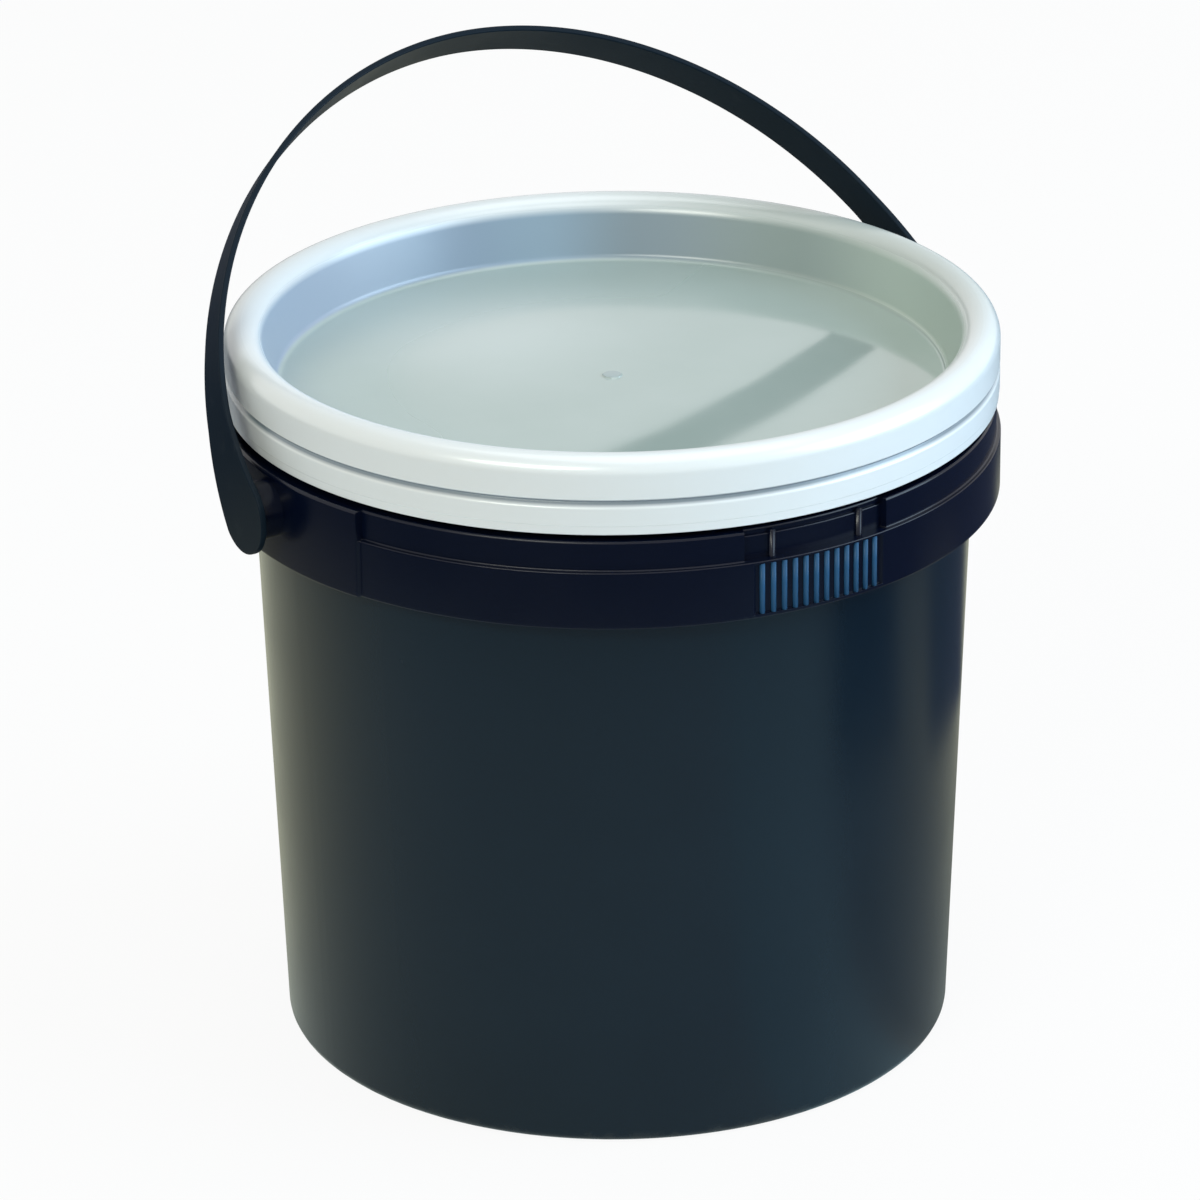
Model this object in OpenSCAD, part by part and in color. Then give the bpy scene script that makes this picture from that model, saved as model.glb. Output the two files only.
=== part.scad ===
// Bait pail of about six litres with a snap lid, a strap handle and a battery
// air pump inside. Millimetres, +Z up, origin at the centre of the foot.
// The handle turns about a line along X; the finger notch and the grip ribs
// are at the front, -Y, and the air pump hangs on the inside of the back, +Y.

/* [Bucket] */
// Outer radius just above the foot
base_r = 99.5; // [94:0.5:106]
// Height from the foot to the top of the rim
body_h = 215.4; // [205:0.2:235]
// Draft of the wall, degrees
draft = 2; // [1.5:0.1:2.5]
// Thickness of the wall
wall = 1.6; // [1.4:0.1:2]
// Thickness of the floor
floor_t = 2; // [1.6:0.1:3]
// Height of the foot ring below the floor
foot_h = 2; // [1:0.1:3]
// Width of the foot ring
foot_w = 7; // [5:0.5:10]
// Radius of the corner between wall and foot
corner_r = 3; // [2:0.1:4]
// How far the rim bead stands out of the wall
bead_w = 2.6; // [2:0.1:3.2]
// Height of the rim bead
bead_h = 7; // [6:0.1:8]

/* [Collar] */
// Distance from the top of the rim down to the collar
collar_drop = 21.4; // [20.8:0.1:24]
// Height of the collar
collar_h = 26; // [24:0.5:32]
// Thickness of the collar
collar_t = 2; // [1.6:0.1:2.4]
// How far the collar's lower tier stands out past the lid
collar_out = 0.5; // [0.2:0.1:2]
// Height of the collar's lower tier
tier_h = 17; // [15:0.5:18]
// Step between the upper and the lower tier
tier_step = 1.3; // [0.8:0.1:1.8]
// Number of webs behind the collar
web_count = 24; // [12:12:36]
// Thickness of a web
web_t = 1.4; // [1:0.1:2]
// Half the angle that a handle pad covers, degrees
pad_half = 20; // [16:1:24]
// How far a handle pad stands out of the lower tier
pad_out = 1.1; // [0.8:0.1:1.5]
// Half the angle of the finger notch, degrees
notch_half = 12; // [8:1:16]
// Depth of the finger notch
notch_d = 2.7; // [1.5:0.1:3]
// Number of grip ribs
rib_count = 12; // [8:1:14]
// Spacing of the grip ribs
rib_pitch = 3.4; // [3:0.1:4]
// Radius of a grip rib
rib_r = 0.8; // [0.6:0.05:0.9]

/* [Lid] */
// Thickness of the lid
lid_t = 1.6; // [1.2:0.1:1.8]
// Radial gap between the lid's snap bead and the rim bead
lid_gap = 0.36; // [0.3:0.02:0.6]
// Height of the crown over the rim
crown_rise = 3.1; // [2.8:0.1:4]
// Height of the lid's outer skirt, from the crown down
skirt_h = 22.5; // [21:0.5:22.5]
// Depth of the groove round the skirt
groove_d = 1.5; // [1:0.1:1.8]
// Half the height of the groove
groove_half = 2.2; // [1.8:0.1:2.6]
// Distance from the crown's top down to the groove
groove_drop = 12.7; // [12:0.1:14]
// Radius of the crown's outer edge
crown_out_r = 5; // [4:0.1:5.5]
// Radius of the crown's inner edge
crown_in_r = 6.5; // [6:0.1:6.8]
// Depth of the sunk panel below the crown's top
panel_drop = 18.5; // [14:0.5:20]
// Slope of the recess wall from vertical, degrees
recess_slope = 14; // [8:1:18]
// Radius of the fillet round the panel
panel_fillet = 2.5; // [1:0.1:4]

/* [Handle] */
// Height of the pivots below the top of the collar
pivot_drop = 10.6; // [10:0.1:14]
// Lean of the handle from upright, degrees
handle_lean = 43.8; // [30:0.2:50]
// Height of the arch, from the pivots to the middle of the strap
arch_h = 129.6; // [124:0.2:150]
// Exponent of the arch: 1 is an ellipse
arch_power = 1.021; // [0.98:0.001:1.04]
// Width of the strap
strap_w = 12.4; // [10:0.2:14]
// Thickness of the strap
strap_t = 1.8; // [1.6:0.1:2.4]
// Radius of the round end of the strap
paddle_r = 12; // [11:0.5:13]
// Distance from the pivot to where the strap reaches its own width
shoulder_h = 52; // [40:1:60]
// How far the pivot boss stands out of its pad
boss_out = 6.4; // [5.2:0.1:6.8]
// Radius of the pivot boss
boss_r = 8.5; // [7.5:0.1:9]
// Radius of the pivot stud
stud_r = 4; // [3.5:0.1:4.5]
// Radius of the stud's snap head
stud_head_r = 5.6; // [5:0.1:6]
// Thickness of the stud's snap head
stud_head_t = 2.2; // [1.6:0.1:2.4]
// Radial running clearance of the stud
stud_gap = 0.08; // [0.04:0.01:0.1]
// Gap between a pivot boss and the strap
paddle_gap = 0.5; // [0.4:0.05:0.8]
// Gap between faces that slide past each other
side_gap = 0.3; // [0.2:0.05:0.4]

/* [Air pump case] */
// Width of the pump case
case_w = 80; // [78:1:90]
// Height of the pump case
case_h = 70; // [70:0.5:78]
// Depth of the rear half of the case
case_back_d = 16; // [14:0.5:18]
// Depth of the front half of the case
case_front_d = 19; // [18:0.5:22]
// Thickness of the case's walls
case_t = 2; // [1.6:0.1:2.4]
// Radius of the case's corners
case_r = 6; // [5:0.5:7]
// Gap between the case's rear corners and the bucket
case_gap = 4.8; // [3.5:0.1:8]
// Gap between the lid's panel and the case
case_drop = 10.4; // [8:0.1:20]
// Thickness of the seal between the halves
seal_t = 1; // [0.6:0.1:1.4]
// Radius of a case screw
case_screw_r = 1.5; // [1.2:0.1:1.6]
// Clearance round a screw's shank
screw_gap = 0.1; // [0.05:0.01:0.2]
// Thickness of the bracket
bracket_t = 2; // [1.6:0.1:3]
// Width of the bracket
bracket_w = 44; // [40:1:50]
// Distance between the bracket screws
bracket_span = 28; // [24:1:32]
// Radius of a bracket screw
bracket_screw_r = 2; // [1.6:0.1:2.2]
// Radius of the bosses that take the bracket screws
wall_boss_r = 5; // [4:0.1:6]
// Depth of the hole in a wall boss
wall_bore_l = 6; // [5:0.5:7]
// Width of the slot in a screw's head
slot_w = 0.9; // [0.6:0.1:1]

/* [Cells and door] */
// Radius of a cell
cell_r = 7.1; // [6.9:0.05:7.25]
// Length of a cell without its button
cell_l = 49.2; // [48:0.1:50]
// Distance between the two cells
cell_pitch = 15.6; // [15:0.1:16]
// Radius of a cell's button
button_r = 2.7; // [2:0.1:3]
// Height of a cell's button
button_h = 1.2; // [1:0.1:1.4]
// Thickness of the contact strips
contact_t = 0.5; // [0.3:0.1:0.6]
// Thickness of the battery door
door_t = 2.4; // [2:0.1:3]
// How far the door overlaps the window on each side
door_lap = 2; // [1.5:0.1:2.5]
// Width of the rails that hold the door
rail_t = 1.5; // [1.2:0.1:2]
// Travel of the switch
switch_travel = 4; // [3:0.5:5]

/* [Pump] */
// Radius of the motor's can
motor_r = 10; // [9:0.1:10.2]
// Distance across the motor's flats
motor_flat = 15.4; // [14:0.1:16]
// Length of the motor's can
motor_l = 25; // [23:0.5:26]
// Throw of the crank
crank_throw = 0.8; // [0.5:0.1:1]
// Radius of the crank's disc
crank_r = 4.5; // [4:0.1:5]
// Radius of the crank pin
crank_pin_r = 1.2; // [1:0.1:1.4]
// Length of the arm's pin past the joint of the case
pin_seat = 8; // [6:0.5:8]
// Gap between the arm's post and the wall of the cell bay
arm_gap = 1.7; // [1:0.1:2]
// Thickness of the rocker arm
arm_t = 2; // [1.6:0.1:2.4]
// Radius of the arm's steel pin
arm_pin_r = 1.5; // [1.2:0.1:1.8]
// Radius of the diaphragm
diaphragm_r = 11; // [10:0.5:12]
// Height of the pump head
head_h = 12; // [10:0.5:13]
// Height of the chamber in the pump head
chamber_h = 3.5; // [3:0.1:4]
// Width of the foot that carries the pump head
head_foot_w = 10; // [8:0.5:14]
// Height of the outlet below the top of the pump head
outlet_drop = 4.5; // [4:0.1:5]

/* [Air line] */
// Outer radius of the air tube
tube_r = 3; // [2.5:0.1:3.2]
// Bore radius of the air tube
tube_bore = 2; // [1.6:0.1:2.2]
// Radius of the tube's bends
tube_bend = 16; // [14:0.5:18]
// Radius of the air stone
stone_r = 7; // [6:0.5:9]
// Length of the air stone
stone_l = 30; // [24:1:40]
// Radius of a clip's suction foot
sucker_r = 8; // [6:0.5:9]
// Height of a tube clip
clip_h = 8; // [6:0.5:10]

/* [Hidden] */
$fn = 96;
eps = 0.01;

// Colours
pail_black = "#1e272c";
lid_white = "#dfe6e6";
strap_black = "#212127";
case_grey = "#c9ced0";
rubber_black = "#2a2a2a";
steel = "#b8bcc0";
cell_blue = "#3a5f8a";
brass = "#c9a558";
clear_grey = "#c4d0d2";
stone_blue = "#7d93a6";

// Bucket: the drafted wall, outside and inside, at a height
function r_out(z) = base_r + (z - corner_r) * tan(draft);
function r_in(z) = r_out(z) - wall;
floor_z = foot_h + floor_t;
rim_r = r_out(body_h) + bead_w;
rim_in = r_in(body_h);
bead_z = body_h - bead_h;
bead_round = (rim_r - rim_in) / 2;

// Lid, measured from the rim
lid_r = rim_r + lid_gap + groove_d + lid_t;
lid_top = body_h + crown_rise;
skirt_z = lid_top - skirt_h;
groove_z = lid_top - groove_drop;
groove_r = (groove_d * groove_d + groove_half * groove_half) / (2 * groove_d);
groove_c = lid_r - groove_d + groove_r;
panel_z = lid_top - panel_drop;
panel_under = panel_z - lid_t;

// Collar, measured from the rim and the lid
collar_top = body_h - collar_drop;
collar_z = collar_top - collar_h;
tier_z = collar_z + tier_h;
tier_r = lid_r + collar_out;
upper_r = tier_r - tier_step;
pad_r = tier_r + pad_out;
seat_x = upper_r - collar_t + 0.9;
seat_half = boss_r - 0.5;

// Handle, measured from the collar
pivot_z = collar_top - pivot_drop;
boss_x = pad_r + boss_out;
arch_r = boss_x + paddle_gap + strap_t / 2;
stud_in = seat_x - side_gap;

// Pump case, hung inside the back of the bucket and under the lid
case_top = panel_under - case_drop;
case_z = case_top - case_h;
case_mid = (case_top + case_z) / 2;
case_back_y = sqrt(pow(r_in(case_z), 2) - pow(case_w / 2, 2)) - case_gap;
split_y = case_back_y - case_back_d;
case_front_y = split_y - seal_t - case_front_d;
case_in_w = case_w - 2 * case_t;
case_in_h = case_h - 2 * case_t;
post_inset = case_r - 0.5;
post_r = case_screw_r + 2;
bracket_gap = 2.5;
bracket_front = case_back_y + bracket_gap;
bracket_back = bracket_front + bracket_t;
bracket_screw_z = case_mid + 4;

// Cells and the door in front of them
door_gap = 0.3;
window_w = cell_pitch + 2 * cell_r;
door_w = window_w + 2 * door_lap;
door_h = case_in_h - 2;
door_x = case_w / 2 - 4 - door_w / 2;
door_y = case_front_y - door_gap - door_t;
cell_x = [door_x - cell_pitch / 2, door_x + cell_pitch / 2];
cell_y = case_front_y + case_t + cell_r + 0.5;
cell_z = case_mid - (cell_l + button_h) / 2;
bay_x = door_x - door_w / 2 - case_t;
bay_y = cell_y + cell_r + 0.8;

// Pump in the other half of the case
motor_x = -case_w / 2 + case_t + motor_r + 4;
motor_z = case_z + case_t + motor_flat / 2 + 5;
motor_back = case_back_y - case_t - 0.5;
motor_front = motor_back - motor_l;
crank_t = 1.6;
arm_post_r = arm_pin_r + 2;
crank_y = motor_front - 1.4 - crank_t;
arm_y = crank_y - arm_t - 0.3;
arm_x = bay_x - arm_gap - arm_post_r;
arm_reach = arm_x - motor_x;
arm_z = motor_z + 12;
arm_deck = arm_z + 1.5;
diaphragm_y = case_back_y - 19;
diaphragm_z = arm_deck + 6;
head_z = diaphragm_z + 2;
head_r = diaphragm_r + 1;
outlet_z = head_z + head_h - outlet_drop;
switch_x = motor_x + 4;
switch_z = case_top - case_t - 5.5;

// Air line, from the side of the case down the wall to the floor
barb_x = -case_w / 2;
tube_top_x = barb_x - 6;
tube_down_x = tube_top_x - tube_bend;
tube_floor_z = floor_z + stone_r;
tube_angle = atan2(diaphragm_y, tube_down_x);
tube_dist = norm([tube_down_x, diaphragm_y]);
clip_zs = [tube_floor_z + tube_bend + 34, outlet_z - tube_bend - 28];

// Points along an arc about c
function arc(c, r, a0, a1, n = 8) =
    [for (i = [0:n]) let (a = a0 + (a1 - a0) * i / n) [c[0] + r * cos(a), c[1] + r * sin(a)]];

// Flat rectangle with round corners
module round_rect(w, h, r) {
    square([w - 2 * r, h], center = true);
    square([w, h - 2 * r], center = true);
    for (x = [-1, 1], y = [-1, 1])
        translate([x * (w / 2 - r), y * (h / 2 - r)]) circle(r, $fn = 32);
}

// Flat shape drawn in X and Z, from y0 back to y1
module slab(y0, y1) {
    translate([0, y1, 0]) rotate([90, 0, 0]) linear_extrude(y1 - y0) children();
}

// Round bar along Y
module bar(x, z, r, y0, y1, n = 32) {
    translate([x, y1, z]) rotate([90, 0, 0]) cylinder(r = r, h = y1 - y0, $fn = n);
}

// Block between two corners
module block(a, b) {
    translate(a) cube(b - a);
}

// ---- Bucket ----

module wall_section() {
    difference() {
        union() {
            square([base_r - corner_r, corner_r]);
            translate([base_r - corner_r, corner_r]) circle(corner_r);
            polygon([[0, corner_r], [base_r, corner_r],
                     [r_out(body_h - bead_round), body_h - bead_round], [0, body_h - bead_round]]);
            polygon([[rim_in, bead_z - bead_w], [r_out(bead_z), bead_z - bead_w], [rim_r, bead_z],
                     [rim_r, body_h - bead_round], [rim_in, body_h - bead_round]]);
            translate([rim_in + bead_round, body_h - bead_round]) circle(bead_round);
        }
        polygon([[0, floor_z], [r_in(floor_z), floor_z],
                 [rim_in, body_h], [rim_in, body_h + bead_h], [0, body_h + bead_h]]);
        square([base_r - corner_r - foot_w, foot_h]);
    }
}

// The flange, the upper tier and the wider lower tier with its drip edge
module collar_section() {
    polygon([[r_in(collar_top) + wall / 2, collar_top],
             [upper_r - 1, collar_top], [upper_r, collar_top - 1],
             [upper_r, tier_z], [tier_r - 0.5, tier_z], [tier_r, tier_z - 0.5],
             [tier_r, collar_z], [tier_r - collar_t, collar_z],
             [tier_r - collar_t, tier_z - collar_t], [upper_r - collar_t, tier_z - collar_t / 2],
             [upper_r - collar_t, collar_top - collar_t],
             [r_in(collar_top) + wall / 2, collar_top - collar_t]]);
}

// The pad is one thickness over both tiers
module pad_section() {
    pad_in = upper_r - collar_t + 0.5;
    polygon([[pad_in, collar_top], [pad_in, collar_z + 2.4], [tier_r - collar_t + 0.4, collar_z],
             [pad_r, collar_z], [pad_r, collar_top - 1], [pad_r - 1, collar_top]]);
}

// Block that the finger notch is cut from, so that the notch has a back and cheeks
module notch_section() {
    translate([upper_r - notch_d - collar_t, tier_z - collar_t + 0.3])
        square([notch_d + collar_t / 2, collar_top - collar_t / 2 - tier_z + collar_t - 0.3]);
}

module sector(mid, half) {
    rotate([0, 0, mid - half]) rotate_extrude(angle = 2 * half) children();
}

module collar() {
    pocket_half = (rib_count + 0.5) * rib_pitch / 2 / tier_r * 180 / PI;
    difference() {
        union() {
            rotate_extrude() collar_section();
            webs();
            sector(-90, notch_half + 1.2) notch_section();
            for (side = [0, 180]) sector(side, pad_half) pad_section();
        }
        sector(-90, notch_half) translate([upper_r - notch_d, tier_z + 0.3]) square(20);
        sector(-90, pocket_half) translate([tier_r - rib_r, collar_z + 1.2]) square([20, tier_h - 2]);
    }
    grip_ribs();
}

module grip_ribs() {
    step = rib_pitch / tier_r * 180 / PI;
    for (i = [0:rib_count - 1])
        rotate([0, 0, -90 + (i - (rib_count - 1) / 2) * step])
            translate([tier_r - rib_r - 0.05, 0, collar_z + 1])
                cylinder(r = rib_r, h = tier_h - 1.6, $fn = 16);
}

module webs() {
    for (i = [0:web_count - 1])
        rotate([0, 0, (i + 0.5) * 360 / web_count])
            translate([r_out(collar_z) - wall / 2, -web_t / 2, collar_z + 3])
                cube([upper_r - collar_t / 2 - r_out(collar_z) + wall / 2, web_t,
                      collar_top - collar_z - 3 - collar_t / 2]);
}

module pivot_bosses() {
    for (side = [0, 180])
        rotate([0, 0, side]) translate([seat_x + 1, 0, pivot_z]) rotate([0, 90, 0])
            cylinder(r = boss_r, h = boss_x - seat_x - 1, $fn = 64);
}

module pivot_bores() {
    for (side = [0, 180]) rotate([0, 0, side]) {
        translate([seat_x - 5, 0, pivot_z]) rotate([0, 90, 0])
            cylinder(r = stud_r + stud_gap, h = boss_x - seat_x + 6, $fn = 64);
        // Flat seat for the stud's snap head, open below so that it can be moulded
        block([r_out(collar_top) + 0.2, -seat_half, collar_z - 1],
              [seat_x, seat_half, collar_top - collar_t - 0.5]);
    }
}

// Two blind bosses on the inside of the back wall
module wall_bosses() {
    for (x = [-1, 1])
        difference() {
            bar(x * bracket_span / 2, bracket_screw_z, wall_boss_r, bracket_back, r_in(bracket_screw_z));
            bar(x * bracket_span / 2, bracket_screw_z, bracket_screw_r, bracket_back - 1,
                bracket_back + wall_bore_l);
            rotate_extrude() translate([r_in(0) + wall / 2, 0])
                polygon([[0, 0], [40, 0], [40, body_h], [body_h * tan(draft), body_h]]);
        }
}

module bucket() color(pail_black) {
    difference() {
        union() {
            rotate_extrude($fn = 180) wall_section();
            collar();
            pivot_bosses();
        }
        pivot_bores();
    }
    wall_bosses();
}

// ---- Lid ----

module lid_section() {
    out_c = [lid_r - crown_out_r, lid_top - crown_out_r];
    in_c = [out_c[0] - 0.1, lid_top - crown_in_r];
    dip = 90 - recess_slope;
    edge = arc(in_c, crown_in_r, 180 - recess_slope, 180 - recess_slope, 1)[0];
    foot_r = edge[0] - (edge[1] - panel_z) * tan(recess_slope);
    fillet_c = [foot_r - panel_fillet * tan(dip / 2), panel_z + panel_fillet];
    half_out = asin(groove_half / groove_r);
    half_in = acos((groove_c - lid_r + lid_t) / (groove_r + lid_t));
    polygon(concat(
        [[lid_r, skirt_z]],
        arc([groove_c, groove_z], groove_r, 180 + half_out, 180 - half_out),
        arc(out_c, crown_out_r, 0, 90),
        arc(in_c, crown_in_r, 90, 180 - recess_slope),
        arc(fillet_c, panel_fillet, -recess_slope, -90, 5),
        [[0, panel_z], [0, panel_under]],
        arc(fillet_c, panel_fillet + lid_t, -90, -recess_slope, 5),
        arc(in_c, crown_in_r - lid_t, 180 - recess_slope, 90),
        arc(out_c, crown_out_r - lid_t, 90, 0),
        arc([groove_c, groove_z], groove_r + lid_t, 180 - half_in, 180 + half_in),
        [[lid_r - lid_t, skirt_z]]));
}

module lid() color(lid_white) {
    rotate_extrude($fn = 180) lid_section();
    // Gate mark in the middle of the panel
    translate([0, 0, panel_z - eps]) cylinder(r1 = 3, r2 = 2.4, h = 0.6, $fn = 48);
}

// ---- Handle ----

// Points of the arch, moved out of its middle line by d
function arch_pts(d, n = 72) =
    [for (i = [0:n]) let (a = 180 * i / n)
        [(arch_r + d) * sign(cos(a)) * pow(abs(cos(a)), arch_power),
         (arch_h + d) * pow(abs(sin(a)), arch_power)]];

module strap_side() {
    out = arch_pts(strap_t / 2);
    in = arch_pts(-strap_t / 2);
    polygon(concat([[arch_r + strap_t / 2, -paddle_r]], out,
                   [[-arch_r - strap_t / 2, -paddle_r], [-arch_r + strap_t / 2, -paddle_r]],
                   [for (i = [len(in) - 1:-1:0]) in[i]],
                   [[arch_r - strap_t / 2, -paddle_r]]));
}

// The strap seen from the side: round end, tapered shoulder, then even width
module strap_front() {
    circle(paddle_r);
    polygon([[-paddle_r, 0], [paddle_r, 0], [strap_w / 2 + 1.2, shoulder_h * 0.55],
             [strap_w / 2, shoulder_h], [-strap_w / 2, shoulder_h],
             [-strap_w / 2 - 1.2, shoulder_h * 0.55]]);
    translate([-strap_w / 2, 0]) square([strap_w, arch_h + strap_t]);
}

module stud() {
    translate([stud_in - 0.1, 0, 0]) rotate([0, 90, 0])
        cylinder(r = stud_r, h = arch_r - stud_in, $fn = 64);
    translate([stud_in - stud_head_t, 0, 0]) rotate([0, 90, 0])
        cylinder(r1 = stud_r, r2 = stud_head_r, h = stud_head_t, $fn = 64);
}

module handle() color(strap_black)
    translate([0, 0, pivot_z]) rotate([-handle_lean, 0, 0]) {
        intersection() {
            rotate([90, 0, 0]) translate([0, 0, -paddle_r - 1])
                linear_extrude(2 * paddle_r + 2) strap_side();
            rotate([90, 0, 90]) translate([0, 0, -arch_r - strap_t])
                linear_extrude(2 * (arch_r + strap_t)) strap_front();
        }
        for (side = [0, 180]) rotate([0, 0, side]) stud();
    }

// ---- Pump case ----

module case_outline(inset = 0) {
    translate([0, case_mid]) round_rect(case_w - 2 * inset, case_h - 2 * inset, case_r - inset);
}

module at_posts() {
    for (x = [-1, 1], z = [-1, 1])
        translate([x * (case_w / 2 - post_inset), case_mid + z * (case_h / 2 - post_inset)]) children();
}

module case_ring() {
    difference() {
        case_outline();
        difference() {
            case_outline(case_t);
            at_posts() circle(post_r, $fn = 32);
        }
    }
}

module case_back() color(case_grey)
    difference() {
        union() {
            slab(split_y, case_back_y) case_ring();
            slab(case_back_y - case_t, case_back_y) case_outline();
            // Wall between the pump and the cells
            block([bay_x, split_y, case_z + case_t / 2],
                  [bay_x + case_t, case_back_y - case_t / 2, case_top - case_t / 2]);
            // Cradle under the motor
            for (y = [motor_back - 6, motor_back - 13])
                block([motor_x - motor_r - 1.5, y, case_z + case_t / 2],
                      [motor_x + motor_r + 1.5, y + 2.5, motor_z - motor_flat / 2]);
            // Post for the arm's pin
            bar(arm_x, arm_z, arm_post_r, split_y, case_back_y - case_t / 2);
        }
        slab(split_y - 1, case_back_y + 1) at_posts() circle(case_screw_r + screw_gap, $fn = 32);
        // Counterbores for the screw heads
        slab(case_back_y - 2.2, case_back_y + 1) at_posts() circle(case_screw_r + 1.5, $fn = 32);
        bar(arm_x, arm_z, arm_pin_r, split_y - 1, split_y + 8);
        outlet_hole();
    }

module outlet_hole() {
    translate([-case_w / 2 - 1, diaphragm_y, outlet_z]) rotate([0, 90, 0])
        cylinder(r = tube_r + 0.1, h = case_t + 2, $fn = 32);
}

module case_front() color(case_grey) {
    difference() {
        union() {
            slab(case_front_y, split_y - seal_t) case_ring();
            slab(case_front_y, case_front_y + case_t) case_outline();
            // Wall between the pump and the cells, and the back of the cell bay
            block([bay_x, case_front_y + case_t / 2, case_z + case_t / 2],
                  [bay_x + case_t, split_y - seal_t, case_top - case_t / 2]);
            block([bay_x + case_t / 2, bay_y, case_z + case_t / 2],
                  [case_w / 2 - case_t / 2, bay_y + 1.2, case_top - case_t / 2]);
        }
        slab(case_front_y + case_t, split_y) at_posts() circle(case_screw_r, $fn = 32);
        // Window over the cells
        block([door_x - window_w / 2, case_front_y - 1, case_mid - door_h / 2 + 2],
              [door_x + window_w / 2, case_front_y + case_t + 1, case_mid + door_h / 2 - 2]);
        // Slot for the switch
        block([switch_x - switch_travel / 2 - 3.3, case_front_y - 1, switch_z - 2.3],
              [switch_x + switch_travel / 2 + 3.3, case_front_y + case_t + 1, switch_z + 2.3]);
        outlet_hole();
    }
    door_rails();
}

// Two L-shaped rails and a stop over the door
module door_rails() {
    rail_z = case_mid - door_h / 2;
    edge = door_w / 2 + door_gap;
    lip_y = door_y - door_gap;
    for (side = [-1, 1]) translate([door_x, 0, 0]) mirror([side < 0 ? 1 : 0, 0, 0]) {
        block([edge, lip_y - rail_t, rail_z], [edge + rail_t, case_front_y + eps, rail_z + door_h]);
        block([edge - door_lap, lip_y - rail_t, rail_z], [edge + rail_t, lip_y, rail_z + door_h]);
    }
    block([door_x - edge - rail_t, lip_y - rail_t, rail_z + door_h + door_gap - eps],
          [door_x + edge + rail_t, case_front_y + eps, rail_z + door_h + door_gap + 1.5]);
}

module case_seal() color(rubber_black)
    slab(split_y - seal_t, split_y)
        difference() {
            case_outline();
            difference() {
                case_outline(case_t);
                at_posts() circle(post_r, $fn = 32);
            }
            at_posts() circle(case_screw_r + screw_gap, $fn = 32);
        }

module case_screws() color(steel) {
    slab(case_front_y + case_t, case_back_y - 2.2 + eps) at_posts() circle(case_screw_r, $fn = 32);
    slab(case_back_y - 2.2, case_back_y - 0.6) at_posts() difference() {
        circle(case_screw_r + 1.4, $fn = 32);
        square([slot_w, 3 * case_screw_r], center = true);
    }
}

module battery_door() color(case_grey) {
    door_z = case_mid - door_h / 2;
    block([door_x - door_w / 2, door_y, door_z], [door_x + door_w / 2, door_y + door_t, door_z + door_h]);
    // Thumb ridges
    for (i = [0:4])
        translate([door_x - 9, door_y, door_z + 10 + i * 3]) rotate([0, 90, 0])
            cylinder(r = 0.8, h = 18, $fn = 16);
}

// ---- Cells and contacts ----

module cell(x, up) {
    z0 = up ? cell_z : cell_z + button_h;
    translate([x, cell_y, 0]) {
        translate([0, 0, z0]) cylinder(r = cell_r, h = cell_l, $fn = 48);
        translate([0, 0, up ? z0 + cell_l - eps : cell_z]) cylinder(r = button_r, h = button_h + eps, $fn = 32);
    }
}

module cell_left() color(cell_blue) cell(cell_x[0], true);

module cell_right() color(cell_blue) cell(cell_x[1], false);

module contact_bridge() color(steel) {
    z = cell_z + cell_l + button_h;
    block([cell_x[0] - 4, cell_y - 4, z], [cell_x[1] + 4, cell_y + 4, z + contact_t]);
    block([cell_x[0] - 4, cell_y + 4 - contact_t, z],
          [cell_x[1] + 4, cell_y + 4, case_top - case_t]);
}

// Bowed leaves that press the cells up
module contact_leaves() color(steel)
    for (x = cell_x) {
        block([x - 3, cell_y - 4, cell_z - contact_t], [x + 3, cell_y + 4, cell_z]);
        block([x - 3, cell_y + 4 - contact_t, case_z + case_t], [x + 3, cell_y + 4, cell_z]);
        block([x - 3, cell_y - 4, case_z + case_t],
              [x + 3, cell_y + 4, case_z + case_t + contact_t]);
    }

module switch_body() color(rubber_black)
    difference() {
        block([switch_x - 9, case_front_y + case_t, switch_z - 4],
              [switch_x + 9, case_front_y + case_t + 6, switch_z + 4]);
        block([switch_x - switch_travel / 2 - 4.3, case_front_y, switch_z - 2.6],
              [switch_x + switch_travel / 2 + 4.3, case_front_y + case_t + 3, switch_z + 2.6]);
    }

// Slider at the off end of its travel
module switch_slider() color(strap_black) {
    x = switch_x - switch_travel / 2;
    block([x - 4, case_front_y + case_t + 0.3, switch_z - 2.3],
          [x + 4, case_front_y + case_t + 2.7, switch_z + 2.3]);
    block([x - 3, case_front_y - 2, switch_z - 2], [x + 3, case_front_y + case_t + 0.4, switch_z + 2]);
    for (i = [-1:1])
        translate([x + i * 1.8, case_front_y - 2, switch_z - 2]) cylinder(r = 0.5, h = 4, $fn = 16);
}

// ---- Pump ----

module motor() color(steel) {
    intersection() {
        bar(motor_x, motor_z, motor_r, motor_front, motor_back, 64);
        block([motor_x - motor_r - 1, motor_front - 1, motor_z - motor_flat / 2],
              [motor_x + motor_r + 1, motor_back + 1, motor_z + motor_flat / 2]);
    }
    bar(motor_x, motor_z, 3, motor_front - 1, motor_front + eps);
}

// Eccentric, its pin and the motor's shaft, which turn together
module crank() color(brass) {
    bar(motor_x, motor_z, crank_r, crank_y, crank_y + crank_t);
    bar(motor_x + crank_throw, motor_z, crank_pin_r, arm_y - 0.2, crank_y + eps);
}

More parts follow.
